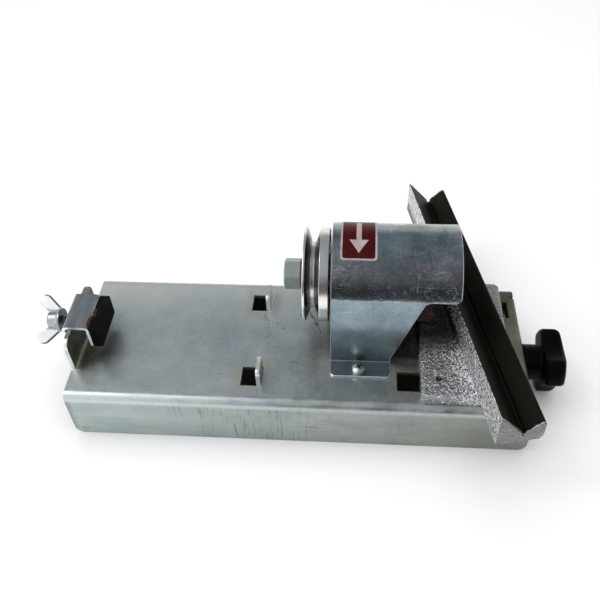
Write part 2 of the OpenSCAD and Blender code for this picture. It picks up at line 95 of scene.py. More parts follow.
class Mat:
    """A node material with short helpers. Object coordinates are the part's frame, in metres."""

    def __init__(self, name):
        self.m = bpy.data.materials.new(name)
        self.m.use_nodes = True
        self.t = self.m.node_tree
        self.t.nodes.clear()
        self.out = self.t.nodes.new("ShaderNodeOutputMaterial")
        self.b = self.t.nodes.new("ShaderNodeBsdfPrincipled")
        self.t.links.new(self.b.outputs["BSDF"], self.out.inputs["Surface"])
        self.tc = self.t.nodes.new("ShaderNodeTexCoord")
        self._xyz = None

    def link(self, a, b):
        self.t.links.new(a, b)

    def put(self, socket, value):
        """A number, a colour or another node's output on a socket."""
        if hasattr(value, "is_output"):
            self.link(value, socket)
        elif hasattr(value, "__len__") and len(value) == 3 and socket.type == "RGBA":
            socket.default_value = (*value, 1.0)
        else:
            socket.default_value = value

    def set(self, name, value):
        self.put(self.b.inputs[name], value)

    @property
    def co(self):
        return self.tc.outputs["Object"]

    def xyz(self):
        if self._xyz is None:
            n = self.t.nodes.new("ShaderNodeSeparateXYZ")
            self.link(self.co, n.inputs[0])
            self._xyz = n.outputs
        return self._xyz

    def math(self, op, a, b=0.0, c=0.0, clamp=False):
        n = self.t.nodes.new("ShaderNodeMath")
        n.operation = op
        n.use_clamp = clamp
        for i, v in enumerate((a, b, c)):
            self.put(n.inputs[i], v)
        return n.outputs[0]

    def scaled(self, scale, offset=(0, 0, 0), rot=(0, 0, 0), co=None):
        n = self.t.nodes.new("ShaderNodeMapping")
        self.link(co or self.co, n.inputs["Vector"])
        n.inputs["Location"].default_value = offset
        n.inputs["Rotation"].default_value = rot
        n.inputs["Scale"].default_value = scale
        return n.outputs[0]

    def noise(self, scale, detail=4.0, rough=0.55, dist=0.0, co=None, colour=False):
        n = self.t.nodes.new("ShaderNodeTexNoise")
        self.link(co or self.co, n.inputs["Vector"])
        n.inputs["Scale"].default_value = scale
        n.inputs["Detail"].default_value = detail
        n.inputs["Roughness"].default_value = rough
        n.inputs["Distortion"].default_value = dist
        return n.outputs["Color" if colour else "Fac"]

    def voronoi(self, scale, feature="F1", co=None, out="Distance", rand=1.0):
        n = self.t.nodes.new("ShaderNodeTexVoronoi")
        n.feature = feature
        self.link(co or self.co, n.inputs["Vector"])
        n.inputs["Scale"].default_value = scale
        n.inputs["Randomness"].default_value = rand
        return n.outputs[out]

    def ramp(self, fac, stops, smooth=False):
        n = self.t.nodes.new("ShaderNodeValToRGB")
        if smooth:
            n.color_ramp.interpolation = "EASE"
        e = n.color_ramp.elements
        while len(e) < len(stops):
            e.new(0.5)
        for el, (p, c) in zip(e, stops):
            el.position = p
            el.color = (*c, 1.0) if hasattr(c, "__len__") else (c, c, c, 1.0)
        self.put(n.inputs["Fac"], fac)
        return n.outputs["Color"]

    def step(self, v, lo, hi, a=0.0, b=1.0):
        n = self.t.nodes.new("ShaderNodeMapRange")
        n.interpolation_type = "SMOOTHSTEP"
        self.put(n.inputs["Value"], v)
        n.inputs["From Min"].default_value = lo
        n.inputs["From Max"].default_value = hi
        n.inputs["To Min"].default_value = a
        n.inputs["To Max"].default_value = b
        return n.outputs["Result"]

    def mix(self, fac, a, b, blend="MIX"):
        n = self.t.nodes.new("ShaderNodeMix")
        n.data_type = "RGBA"
        n.blend_type = blend
        n.clamp_result = False
        self.put(n.inputs["Factor"], fac)
        for s, v in (("A", a), ("B", b)):
            sock = [i for i in n.inputs if i.name == s and i.type == "RGBA"][0]
            self.put(sock, v)
        return [o for o in n.outputs if o.type == "RGBA"][0]

    def bump(self, height, strength=0.3, distance=0.0002, normal=None):
        n = self.t.nodes.new("ShaderNodeBump")
        n.inputs["Strength"].default_value = strength
        n.inputs["Distance"].default_value = distance
        self.put(n.inputs["Height"], height)
        if normal is not None:
            self.link(normal, n.inputs["Normal"])
        return n.outputs["Normal"]

    def lines(self, scale, width, co=None, detail=2.0, dist=0.0):
        """1 along thin wandering lines, the level lines of a noise."""
        f = self.noise(scale, detail, 0.5, dist, co)
        d = self.math("ABSOLUTE", self.math("SUBTRACT", f, 0.5))
        return self.step(d, width, 0.0)

    def box_far(self, cx, cy, hx, hy):
        """Distance in plan, in metres, outside a rectangle given in drawing mm."""
        x, y = self.xyz()[0], self.xyz()[1]
        c = pt(cx, cy, 0)
        dx = self.math("SUBTRACT", self.math("ABSOLUTE", self.math("SUBTRACT", x, c.x)), hx * MM)
        dy = self.math("SUBTRACT", self.math("ABSOLUTE", self.math("SUBTRACT", y, c.y)), hy * MM)
        return self.math("MAXIMUM", dx, dy)

    def radius(self, cy, cz):
        """Distance from an axis along X through the drawing point cy, cz."""
        c = pt(0, cy, cz)
        dy = self.math("SUBTRACT", self.xyz()[1], c.y)
        dz = self.math("SUBTRACT", self.xyz()[2], c.z)
        return self.math(
            "SQRT", self.math("ADD", self.math("MULTIPLY", dy, dy), self.math("MULTIPLY", dz, dz))
        )


def zinc_sheet():
    """Satin zinc plate of the base: mottled, with olive stains, scuffs and streaks, and painted light and shade."""
    k = Mat("zinc_base")
    x, y, z = k.xyz()
    broad = k.noise(14, 3, 0.6)
    col = k.ramp(broad, [(0.30, (0.600, 0.665, 0.695)), (0.52, (0.680, 0.735, 0.735)), (0.72, (0.720, 0.755, 0.700))])
    # painted highlight: lighter towards the rear, where the plate mirrors the brighter horizon, and towards the left,
    # under the side light
    rear = k.step(y, -0.02, 0.024)
    col = k.mix(k.math("MULTIPLY", rear, 0.80), col, (0.900, 0.935, 0.890))
    col = k.mix(k.step(x, pt(100, 0, 0).x, pt(30, 0, 0).x, 0.0, 0.26), col, (0.930, 0.965, 0.925))
    # painted shade: the ear's inner face and the plate at its foot, beneath the bracket, darkened
    ear = k.math("MULTIPLY", k.step(x, pt(2.25, 0, 0).x, pt(2.45, 0, 0).x), k.step(x, pt(9, 0, 0).x, pt(5, 0, 0).x))
    ear = k.math("MULTIPLY", ear, k.step(z, 0.0374, 0.0382))
    foot = k.step(k.box_far(7, 44, 5, 14), 0.014, 0.0)
    col = k.mix(k.math("MAXIMUM", k.math("MULTIPLY", ear, 0.88), k.math("MULTIPLY", foot, 0.32)), col, (0.105, 0.120, 0.105))
    # dull towards the hood
    dim = k.math("MULTIPLY", k.step(x, pt(112, 0, 0).x, pt(160, 0, 0).x), k.step(k.noise(38, 3, 0.6), 0.30, 0.62, 0.55, 1.0))
    col = k.mix(k.math("MULTIPLY", dim, 0.55), col, (0.44, 0.47, 0.465))
    # olive stains round the stop tabs and the pressed windows; the olive patch round the ear is a painted reflection
    stain_and_reflection = None
    for cx, cy, hx, hy in ((111.8, 20.2, 6.5, 7.5), (111.8, 81.2, 6.5, 7.5), (235, 20.2, 37, 7.5), (235, 81.2, 37, 7.5), (3, 46, 5, 28)):
        d = k.step(k.box_far(cx, cy, hx, hy), 0.009, -0.001)
        stain_and_reflection = d if stain_and_reflection is None else k.math("MAXIMUM", stain_and_reflection, d)
    stain_and_reflection = k.math("MULTIPLY", stain_and_reflection, k.step(k.noise(60, 3, 0.6), 0.35, 0.7))
    col = k.mix(k.math("MULTIPLY", stain_and_reflection, 0.75), col, (0.47, 0.425, 0.27))
    # fine spangle of the plating
    fine = k.noise(900, 2, 0.6)
    col = k.mix(0.30, col, k.ramp(fine, [(0.3, 0.25), (0.7, 0.75)]), "OVERLAY")
    cloud = k.noise(55, 5, 0.65)
    col = k.mix(0.22, col, k.ramp(cloud, [(0.32, 0.30), (0.68, 0.70)]), "OVERLAY")
    mottle = k.noise(240, 5, 0.72)
    col = k.mix(0.34, col, k.ramp(mottle, [(0.34, 0.28), (0.66, 0.72)]), "OVERLAY")
    # dark scuffs between the tabs and the pulley
    spot = pt(137, 52, 0)
    near = k.math("MULTIPLY", k.step(k.math("ABSOLUTE", k.math("SUBTRACT", x, spot.x)), 0.034, 0.012),
                  k.step(k.math("ABSOLUTE", k.math("SUBTRACT", y, spot.y)), 0.046, 0.02))
    squiggle = k.math("MULTIPLY", k.lines(42, 0.013, detail=3.0, dist=1.2), k.step(k.noise(70, 2), 0.46, 0.58))
    squiggle = k.math("MULTIPLY", squiggle, k.math("ADD", k.math("MULTIPLY", near, 0.96), 0.04))
    dash = k.step(k.voronoi(1.0, co=k.scaled((55, 170, 170), (0.3, 0.2, 0.6), (0, 0, 0.9))), 0.11, 0.03)
    dash2 = k.step(k.voronoi(1.0, co=k.scaled((210, 70, 70), (0.1, 0.8, 0.4), (0, 0, 0.25))), 0.10, 0.03)
    dash = k.math("MULTIPLY", k.math("MAXIMUM", dash, dash2), k.step(k.noise(36, 3, 0.6), 0.47, 0.60))
    squiggle = k.math("MAXIMUM", squiggle, k.math("MULTIPLY", dash, 0.60))
    col = k.mix(k.math("MULTIPLY", squiggle, 0.80), col, (0.11, 0.12, 0.11))
    speck = k.step(k.voronoi(190), 0.10, 0.03)
    speck = k.math("MULTIPLY", speck, k.step(k.noise(33, 2), 0.55, 0.68))
    col = k.mix(k.math("MULTIPLY", speck, 0.55), col, (0.20, 0.21, 0.19))
    # upright streaks on both long flanges
    flank = k.step(z, 0.0335, 0.030)
    along = k.step(x, -0.135, 0.135)
    skin = k.mix(along, (0.405, 0.468, 0.455), (0.290, 0.305, 0.275))
    skin = k.mix(0.35, skin, k.ramp(k.noise(1.0, 4, 0.6, co=k.scaled((30, 30, 70))), [(0.32, 0.30), (0.68, 0.70)]), "OVERLAY")
    blue = k.step(k.noise(28, 3, 0.6, co=k.scaled((1, 1, 1), (0.6, 0.2, 0.9))), 0.48, 0.68)
    skin = k.mix(k.math("MULTIPLY", blue, 0.4), skin, (0.36, 0.43, 0.45))
    col = k.mix(flank, col, skin)
    streak = k.noise(1.0, 4, 0.75, co=k.scaled((760, 760, 48)))
    streak = k.math("MULTIPLY", k.step(streak, 0.51, 0.66), flank)
    place = k.math("MULTIPLY", k.step(x, -0.075, -0.045), k.step(x, 0.035, 0.0))
    streak = k.math("MULTIPLY", streak, k.math("MAXIMUM", place, k.step(k.noise(22, 2), 0.52, 0.66)))
    col = k.mix(k.math("MULTIPLY", streak, 0.60), col, (0.15, 0.155, 0.135))
    frayed = k.math("ADD", x, k.math("MULTIPLY", k.noise(180, 3, 0.65), 0.004))
    rim = k.math("MULTIPLY", flank, k.step(frayed, pt(6.2, 0, 0).x, pt(2.4, 0, 0).x, 0.0, 0.55))
    col = k.mix(rim, col, (0.165, 0.158, 0.130))
    drag = k.lines(1.0, 0.014, co=k.scaled((14, 14, 120), (0.1, 0.5, 0.2)), detail=2.0, dist=0.4)
    drag = k.math("MULTIPLY", k.math("MULTIPLY", drag, flank), k.step(k.noise(40, 3, 0.6), 0.50, 0.62))
    col = k.mix(k.math("MULTIPLY", drag, 0.5), col, (0.18, 0.185, 0.17))
    # oily dirt behind the rail; beneath the hood, painted shade
    soil = k.math("MULTIPLY", k.step(x, pt(250, 0, 0).x, pt(262, 0, 0).x), k.step(y, pt(0, 18, 0).y, pt(0, 46, 0).y))
    under_hood_shade = k.math("MULTIPLY", k.step(x, pt(150, 0, 0).x, pt(162, 0, 0).x), k.step(y, pt(0, 33, 0).y, pt(0, 40, 0).y))
    under_hood_shade = k.math("MULTIPLY", under_hood_shade, k.step(x, pt(262, 0, 0).x, pt(254, 0, 0).x))
    patchy = k.noise(80, 4, 0.65)
    soil = k.math("MAXIMUM", k.math("MULTIPLY", soil, k.step(patchy, 0.25, 0.6, 0.84, 1.0)),
                  k.math("MULTIPLY", under_hood_shade, k.step(patchy, 0.25, 0.6, 0.45, 0.95)))
    soil = k.math("MULTIPLY", soil, k.step(z, 0.030, 0.034))
    col = k.mix(soil, col, k.mix(under_hood_shade, k.mix(k.step(y, pt(0, 62, 0).y, pt(0, 96, 0).y), (0.335, 0.315, 0.235), (0.225, 0.215, 0.145)), (0.075, 0.072, 0.055)))
    # painted shade: the unlit inside of the channel, darkened
    inside = k.math("MULTIPLY", k.step(z, 0.03458, 0.03452), k.step(x, pt(275.4, 0, 0).x, pt(275.35, 0, 0).x))
    inside = k.math("MULTIPLY", inside, k.math("MULTIPLY", k.step(y, pt(0, 2.40, 0).y, pt(0, 2.46, 0).y), k.step(y, pt(0, 98.62, 0).y, pt(0, 98.56, 0).y)))
    col = k.mix(inside, col, (0.125, 0.130, 0.112))
    bent = k.math("MULTIPLY", k.math("MAXIMUM", k.step(y, pt(0, 7, 0).y, pt(0, 4.4, 0).y), k.step(y, pt(0, 94, 0).y, pt(0, 96.6, 0).y)), k.step(z, 0.029, 0.033))
    # the bends: painted shade darkening them towards the right, where the side light's highlight fades; their gloss
    # uneven along them
    wave = k.noise(1.0, 4, 0.65, co=k.scaled((75, 240, 240)))
    col = k.mix(k.math("MULTIPLY", bent, k.step(x, pt(40, 0, 0).x, pt(190, 0, 0).x, 0.26, 0.42)), col, (0.34, 0.36, 0.365))
    col = k.mix(k.math("MULTIPLY", bent, 0.30), col, k.ramp(wave, [(0.32, 0.28), (0.68, 0.72)]), "OVERLAY")
    k.set("Base Color", col)
    k.set("Metallic", 1.0)
    rough = k.math("ADD", k.math("MULTIPLY", cloud, 0.16), 0.28)
    rough = k.math("ADD", rough, k.math("MULTIPLY", bent, k.step(wave, 0.36, 0.64, 0.0, 0.16)))
    rough = k.math("ADD", rough, k.math("MULTIPLY", stain_and_reflection, 0.12))
    rough = k.math("ADD", rough, k.math("MULTIPLY", rear, 0.10))
    rough = k.math("ADD", rough, k.math("MULTIPLY", squiggle, 0.2))
    rough = k.math("ADD", rough, k.math("MULTIPLY", k.math("MAXIMUM", soil, inside), 0.25))
    k.set("Roughness", rough)
    grain = k.noise(1.0, 3, 0.6, co=k.scaled((500, 2600, 2600)))
    n = k.bump(grain, 0.10, 0.0001)
    n = k.bump(k.noise(350, 4, 0.6), 0.12, 0.0001, n)
    k.set("Normal", n)
    return k.m


def zinc_bright(name, tint, rough0=0.16, scuffs=1.0, rusty=None):
    """Bright bluish zinc plate with rolled grain, scuffs and light scratches."""
    k = Mat(name)
    broad = k.noise(22, 3, 0.6)
    dark = tuple(c * 0.86 for c in tint)
    col = k.ramp(broad, [(0.3, dark), (0.7, tint)])
    # faint straw and violet patches of the passivation
    warm = k.step(k.noise(95, 3, 0.5, co=k.scaled((1, 0.5, 1), (0.3, 0.1, 0.7))), 0.50, 0.66)
    col = k.mix(k.math("MULTIPLY", warm, 0.45), col, (tint[0] * 1.06, tint[1] * 0.92, tint[2] * 1.00))
    cool = k.step(k.noise(85, 3, 0.5, co=k.scaled((1, 0.5, 1), (0.9, 0.4, 0.2))), 0.50, 0.68)
    col = k.mix(k.math("MULTIPLY", cool, 0.55), col, (tint[0] * 0.98, tint[1] * 1.10, tint[2] * 1.06))
    band = k.noise(1.0, 3, 0.6, co=k.scaled((230, 34, 34)))
    col = k.mix(0.42, col, k.ramp(band, [(0.34, 0.26), (0.66, 0.74)]), "OVERLAY")
    fine = k.noise(1200, 2, 0.6)
    col = k.mix(0.12, col, k.ramp(fine, [(0.3, 0.25), (0.7, 0.75)]), "OVERLAY")
    rough = k.math("ADD", k.math("MULTIPLY", k.noise(90, 4, 0.6), 0.12), rough0)
    # light rubbed patches and short scratches
    patch = k.step(k.noise(75, 5, 0.7, 0.4), 0.56, 0.70)
    patch = k.math("MULTIPLY", patch, 0.5 * scuffs)
    col = k.mix(k.math("MULTIPLY", patch, 0.5), col, tuple(min(1.0, c * 1.35) for c in tint))
    s1 = k.lines(1.0, 0.012, co=k.scaled((70, 160, 160), rot=(0, 0.4, 0.5)), detail=1.0, dist=0.3)
    s2 = k.lines(1.0, 0.010, co=k.scaled((190, 60, 60), (0.2, 0.6, 0.1), (0.6, 0.2, 0.9)), detail=1.0, dist=0.3)
    scr = k.math("MULTIPLY", k.math("MAXIMUM", s1, s2), k.step(k.noise(48, 3, 0.6), 0.54, 0.66))
    scr = k.math("MULTIPLY", scr, scuffs)
    col = k.mix(k.math("MULTIPLY", scr, 0.55), col, (0.80, 0.82, 0.82))
    rough = k.math("ADD", rough, k.math("MULTIPLY", patch, 0.22))
    rough = k.math("ADD", rough, k.math("MULTIPLY", scr, 0.25))
    if rusty:  # a stained place in plan: middle and half widths
        c = pt(rusty[0], rusty[1], 0)
        ex = k.math("DIVIDE", k.math("SUBTRACT", k.xyz()[0], c.x), rusty[2] * MM)
        ey = k.math("DIVIDE", k.math("SUBTRACT", k.xyz()[1], c.y), rusty[3] * MM)
        far = k.math("SQRT", k.math("ADD", k.math("MULTIPLY", ex, ex), k.math("MULTIPLY", ey, ey)))
        far = k.math("ADD", far, k.math("MULTIPLY", k.math("SUBTRACT", k.noise(260, 3, 0.6), 0.5), 0.8))
        red = k.step(far, 1.08, 0.86)
        col = k.mix(red, col, k.ramp(k.noise(700, 3, 0.7), [(0.3, (0.030, 0.011, 0.004)), (0.7, (0.105, 0.036, 0.009))]))
        rough = k.math("ADD", rough, k.math("MULTIPLY", red, 0.4))
        k.set("Metallic", k.math("SUBTRACT", 1.0, k.math("MULTIPLY", red, 0.8)))
    else:
        k.set("Metallic", 1.0)
    k.set("Base Color", col)
    k.set("Roughness", rough)
    roll = k.noise(1.0, 3, 0.6, co=k.scaled((1800, 120, 120)))
    n = k.bump(roll, 0.05, 0.0001)
    n = k.bump(k.noise(260, 4, 0.65), 0.06, 0.0001, n)
    n = k.bump(scr, 0.25, -0.00003, n)
    k.set("Normal", n)
    return k.m


def zinc_hood():
    """Bright zinc of the hood: nearly a mirror, drawn lines round it, painted reflection bands of violet, straw, blue
    and dark grey, rubbed lower down.
    """
    k = Mat("zinc_cover")
    x, y, z = k.xyz()
    col = k.ramp(k.noise(24, 3, 0.6), [(0.3, (0.245, 0.292, 0.325)), (0.7, (0.305, 0.352, 0.382))])
    # painted reflection: bands by height and by angle round the hood's axis, straw at the rear top, bluer over the top,
    # dark violet on the front and a dark band above the crease
    c = pt(0, HOOD_Y, HOOD_Z)
    ang = k.math("ARCTAN2", k.math("SUBTRACT", z, c.z), k.math("SUBTRACT", y, c.y))
    tall = k.step(z, 0.0885, 0.0975)
    warm = k.math("MULTIPLY", k.math("MULTIPLY", k.step(ang, 1.32, 1.05), k.step(z, 0.0865, 0.0880)), k.step(k.noise(40, 2), 0.3, 0.6, 0.6, 1.0))
    col = k.mix(k.math("MULTIPLY", warm, 0.82), col, (0.425, 0.368, 0.305))
    cool = k.math("MULTIPLY", k.step(ang, 1.10, 1.34), k.step(ang, 2.10, 1.62))
    col = k.mix(k.math("MULTIPLY", cool, 0.75), col, (0.272, 0.335, 0.390))
    band = k.math("MULTIPLY", k.step(z, 0.0865, 0.0880), k.step(z, 0.1005, 0.0930))
    violet = k.math("MULTIPLY", k.math("MULTIPLY", k.step(ang, 2.02, 2.22), k.step(ang, 2.66, 2.44)), k.step(k.noise(35, 3, 0.6), 0.35, 0.65, 0.35, 1.0))
    col = k.mix(k.math("MULTIPLY", violet, 0.80), col, (0.238, 0.222, 0.242))
    col = k.mix(k.math("MULTIPLY", band, 0.60), col, (0.200, 0.222, 0.245))
    # painted reflection: lighter towards the flange, which mirrors the floor, and bluer above the crease; warmer on the
    # flange
    low = k.step(z, 0.066, 0.044)
    col = k.mix(k.step(z, 0.082, 0.050, 0.0, 0.20), col, (0.520, 0.580, 0.600))
    col = k.mix(k.step(z, 0.0874, 0.0866), col, (0.87, 0.96, 1.0), "MULTIPLY")
    col = k.mix(k.step(z, 0.0412, 0.0402), col, (0.96, 0.86, 0.80), "MULTIPLY")
    # drawn lines round the hood and a rolled grain
    drawn = k.noise(1.0, 4, 0.7, co=k.scaled((900, 9, 9)))
    col = k.mix(0.09, col, k.ramp(drawn, [(0.3, 0.25), (0.7, 0.75)]), "OVERLAY")
    blotch = k.noise(62, 5, 0.68, 0.6)
    col = k.mix(k.step(z, 0.0862, 0.0882, 0.30, 0.62), col, k.ramp(blotch, [(0.34, 0.24), (0.66, 0.76)]), "OVERLAY")
    fine = k.noise(700, 3, 0.7)
    col = k.mix(0.22, col, k.ramp(fine, [(0.3, 0.25), (0.7, 0.75)]), "OVERLAY")
    # rubbed specks and short scratches, most of them near the crease and at the right
    worn = k.math("MULTIPLY", band, k.step(x, pt(166, 0, 0).x, pt(196, 0, 0).x, 0.35, 1.0))
    worn = k.math("MAXIMUM", worn, k.math("MULTIPLY", k.step(z, 0.0865, 0.0880), 0.40))
    worn = k.math("MAXIMUM", worn, k.math("MULTIPLY", k.step(ang, 1.50, 1.75), 0.42))
    rub = k.math("MULTIPLY", k.step(k.noise(260, 6, 0.75, 0.5), 0.52, 0.66), worn)
    speck = k.math("MULTIPLY", k.step(k.voronoi(850), 0.30, 0.12), k.step(k.noise(95, 4, 0.65), 0.46, 0.58))
    speck = k.math("MULTIPLY", speck, worn)
    s1 = k.lines(1.0, 0.016, co=k.scaled((60, 330, 330), rot=(0, 0.4, 0.5)), detail=1.0, dist=0.15)
    s2 = k.lines(1.0, 0.014, co=k.scaled((360, 70, 70), (0.2, 0.6, 0.1), (0.6, 0.2, 0.9)), detail=1.0, dist=0.15)
    scr = k.math("MULTIPLY", k.math("MAXIMUM", s1, s2), k.step(k.noise(52, 3, 0.6), 0.48, 0.58))
    scr = k.math("MULTIPLY", scr, k.math("ADD", k.math("MULTIPLY", worn, 0.9), 0.12))
    light = k.math("MAXIMUM", k.math("MULTIPLY", rub, 0.42), k.math("MAXIMUM", k.math("MULTIPLY", speck, 0.75), k.math("MULTIPLY", scr, 0.75)))
    # burr of the crease with its highlight, painted as a broken light line
    burr_and_highlight = k.math("MULTIPLY", k.math("MULTIPLY", k.step(z, 0.0868, 0.0872), k.step(z, 0.0882, 0.0877)), k.step(k.noise(1.0, 3, 0.6, co=k.scaled((300, 40, 40))), 0.44, 0.58))
    light = k.math("MAXIMUM", light, k.math("MULTIPLY", burr_and_highlight, 0.6))
    col = k.mix(light, col, (0.66, 0.70, 0.73))
    dull = k.math("MULTIPLY", k.step(k.noise(150, 5, 0.7), 0.55, 0.72), 0.35)
    col = k.mix(k.math("MULTIPLY", dull, 0.5), col, (0.20, 0.215, 0.225))
    k.set("Base Color", col)
    k.set("Metallic", 1.0)
    rough = k.math("ADD", k.math("MULTIPLY", k.noise(90, 4, 0.6), 0.16), 0.13)
    rough = k.math("ADD", rough, k.math("ADD", k.math("MULTIPLY", tall, 0.03), k.math("MULTIPLY", low, 0.11)))
    rough = k.math("ADD", rough, k.math("MULTIPLY", light, 0.35))
    k.set("Roughness", rough)
    n = k.bump(drawn, 0.025, 0.0001)
    n = k.bump(k.noise(60, 3, 0.5), 0.10, 0.0004, n)
    n = k.bump(k.noise(260, 4, 0.65), 0.05, 0.0001, n)
    n = k.bump(light, 0.25, -0.00003, n)
    k.set("Normal", n)
    return k.m


def turned_metal(name, tint, cy, cz, rough0=0.22, fine=1.0, groove=None):
    """Metal turned about an axis along X: fine rings and ring-wise bands."""
    k = Mat(name)
    r = k.radius(cy, cz)
    comb = k.t.nodes.new("ShaderNodeCombineXYZ")
    k.link(r, comb.inputs[0])
    k.link(k.xyz()[0], comb.inputs[1])
    rings = k.noise(2600, 3, 0.7, co=comb.outputs[0])
    bands = k.noise(420, 2, 0.6, co=comb.outputs[0])
    col = k.ramp(bands, [(0.3, tuple(c * 0.82 for c in tint)), (0.7, tint)])
    col = k.mix(0.25 * fine, col, k.ramp(rings, [(0.3, 0.2), (0.7, 0.8)]), "OVERLAY")
    grime = k.step(k.noise(120, 4, 0.65), 0.55, 0.75)
    col = k.mix(k.math("MULTIPLY", grime, 0.25), col, tuple(c * 0.6 for c in tint))
    if groove:  # flanks soiled by the belt; the outer rims painted bright as a highlight
        soil = k.math("MULTIPLY", k.step(r, groove[1] * MM, (groove[1] - 0.5) * MM), k.step(r, (groove[0] + 0.4) * MM, (groove[0] + 2.5) * MM))
        span = k.math("ABSOLUTE", k.math("SUBTRACT", k.xyz()[0], pt(groove[2], 0, 0).x))
        soil = k.math("MULTIPLY", soil, k.step(span, 0.0045, 0.0041))
        col = k.mix(k.math("MULTIPLY", soil, 0.92), col, tuple(c * 0.12 for c in tint))
        col = k.mix(k.math("MULTIPLY", k.step(r, (groove[1] - 0.1) * MM, (groove[1] + 0.15) * MM), 0.7), col, (0.97, 0.965, 0.95))
    k.set("Base Color", col)
    k.set("Metallic", 1.0)
    k.set("Roughness", k.math("ADD", k.math("MULTIPLY", rings, 0.16), rough0))
    tan = k.t.nodes.new("ShaderNodeTangent")
    tan.direction_type = "RADIAL"
    tan.axis = "X"
    k.b.inputs["Anisotropic"].default_value = 0.5
    k.link(tan.outputs[0], k.b.inputs["Tangent"])
    k.set("Normal", k.bump(rings, 0.25 * fine, 0.00006))
    return k.m


def cast_metal(name, tint, rough0, grain=1.0, grime=(0.16, 0.15, 0.14), shade=None):
    """Sand cast metal: pebbled and glinting, darker in the hollows. shade: masks of dirty places partly in painted
    shade, of dull places in painted shade, of where glints are painted, and of smooth places.
    """
    k = Mat(name)
    peb = k.noise(980, 2, 0.6, 0.2)
    peb2 = k.noise(560, 2, 0.6)
    broad = k.noise(45, 4, 0.6)
    col = k.ramp(broad, [(0.3, tuple(c * 0.82 for c in tint)), (0.7, tint)])
    hollow = k.step(k.math("ADD", k.math("MULTIPLY", peb, 0.5), k.math("MULTIPLY", peb2, 0.5)), 0.535, 0.450)
    col = k.mix(k.math("MULTIPLY", hollow, 0.84), col, grime)
    spot = k.step(k.voronoi(260), 0.13, 0.05)
    col = k.mix(k.math("MULTIPLY", spot, 0.15), col, tuple(c * 0.5 for c in grime))
    if shade:
        soil, dull, lit, smooth = shade(k)
        col = k.mix(smooth, col, (tint[0] * 0.64, tint[1] * 0.605, tint[2] * 0.555))
        # painted shade: the dull places darker, the front end darker still
        col = k.mix(k.math("MULTIPLY", dull, 0.68), col, tuple(c * 0.42 for c in tint))
        col = k.mix(k.math("MULTIPLY", k.math("SUBTRACT", dull, 1.0, clamp=True), 1.7), col, (0.150, 0.135, 0.135))
        # painted glints: near-white and less metallic, most of them near the rail's wall
        painted_glint = k.math("MULTIPLY", k.step(k.noise(860, 2, 0.6, co=k.scaled((1, 1, 1), (0.31, 0.7, 0.2))), 0.515, 0.59), k.math("MAXIMUM", k.step(peb2, 0.47, 0.56), k.math("MULTIPLY", lit, 0.8)))
        painted_glint = k.math("MULTIPLY", painted_glint, k.math("MULTIPLY", k.math("SUBTRACT", 1.0, k.math("MAXIMUM", soil, smooth)), k.math("SUBTRACT", 1.0, k.math("MULTIPLY", dull, 0.60))))
        col = k.mix(k.math("MULTIPLY", painted_glint, 0.9), col, (0.97, 0.965, 0.98))
        col = k.mix(soil, col, k.mix(hollow, (0.050, 0.046, 0.041), (0.014, 0.013, 0.011)))
    k.set("Base Color", col)
    k.set("Metallic", k.math("SUBTRACT", 1.0, k.math("MULTIPLY", painted_glint, 0.75)) if shade else 1.0)
    k.set("Roughness", k.math("ADD", k.math("MULTIPLY", broad, 0.16), rough0))
    n = k.bump(peb2, 0.95 * grain, 0.0016)
    n = k.bump(peb, 0.9 * grain, 0.0007, n)
    k.set("Normal", n)
    return k.m


def rail_soil(k):
    """Where the rail is dirty behind the hood and darkened by painted shade beneath it, and where its foot is dull,
    away from the rail, in painted shade; also where glints are painted and where the rear foot is smooth.
    """
    x, y, z = k.xyz()
    # painted shade on the foot beneath the hood; dirt behind it
    m = k.math("MULTIPLY", k.step(y, pt(0, 34, 0).y, pt(0, 54, 0).y), k.step(z, 0.056, 0.046))
    m2 = k.math("MULTIPLY", k.step(x, pt(252, 0, 0).x, pt(258, 0, 0).x), 0.30)
    m = k.math("MULTIPLY", m, k.step(x, pt(262, 0, 0).x, pt(252, 0, 0).x))
    m2 = k.math("MULTIPLY", m2, k.step(y, pt(0, 24, 0).y, pt(0, 50, 0).y))
    m = k.math("MAXIMUM", m, m2)
    m = k.math("MULTIPLY", m, k.step(k.noise(90, 4, 0.65), 0.22, 0.5, 0.55, 0.97))
    # small round mark of the mould
    c = pt(*MARK, 0)
    dx, dy = k.math("SUBTRACT", x, c.x), k.math("SUBTRACT", y, c.y)
    d = k.math("SQRT", k.math("ADD", k.math("MULTIPLY", dx, dx), k.math("MULTIPLY", dy, dy)))
    ring = k.math("MULTIPLY", k.step(d, 0.0021, 0.0016), k.step(z, 0.0465, 0.0455))
    m = k.math("MAXIMUM", m, k.math("MULTIPLY", ring, 0.8))
    # across the rail: painted shade on the foot away from the rail's wall, darker still on the front end face
    o = pt(*RAIL_BACK, 0)
    across = k.math("ADD", k.math("MULTIPLY", k.math("SUBTRACT", x, o.x), float(RAIL_U[0])), k.math("MULTIPLY", k.math("SUBTRACT", y, o.y), float(RAIL_U[1])))
    dull = k.math("MULTIPLY", k.step(across, -0.002, -0.018), k.step(z, 0.0475, 0.0455))
    along = k.math("ADD", k.math("MULTIPLY", k.math("SUBTRACT", x, o.x), float(RAIL_D[0])), k.math("MULTIPLY", k.math("SUBTRACT", y, o.y), float(RAIL_D[1])))
    dull = k.math("MAXIMUM", dull, k.step(along, (RAIL_L - 1.0) * MM, (RAIL_L - 0.4) * MM, 0.0, 1.34))
    # painted glints: most of them close to the rail's wall and on it
    lit = k.math("MULTIPLY", k.step(across, -0.013, -0.003), k.step(along, (RAIL_L - 0.4) * MM, (RAIL_L - 1.0) * MM))
    smooth = k.math("MULTIPLY", k.step(x, pt(252, 0, 0).x, pt(258, 0, 0).x), k.step(y, pt(0, 30, 0).y, pt(0, 50, 0).y))
    return m, dull, lit, k.math("MULTIPLY", smooth, 0.8)


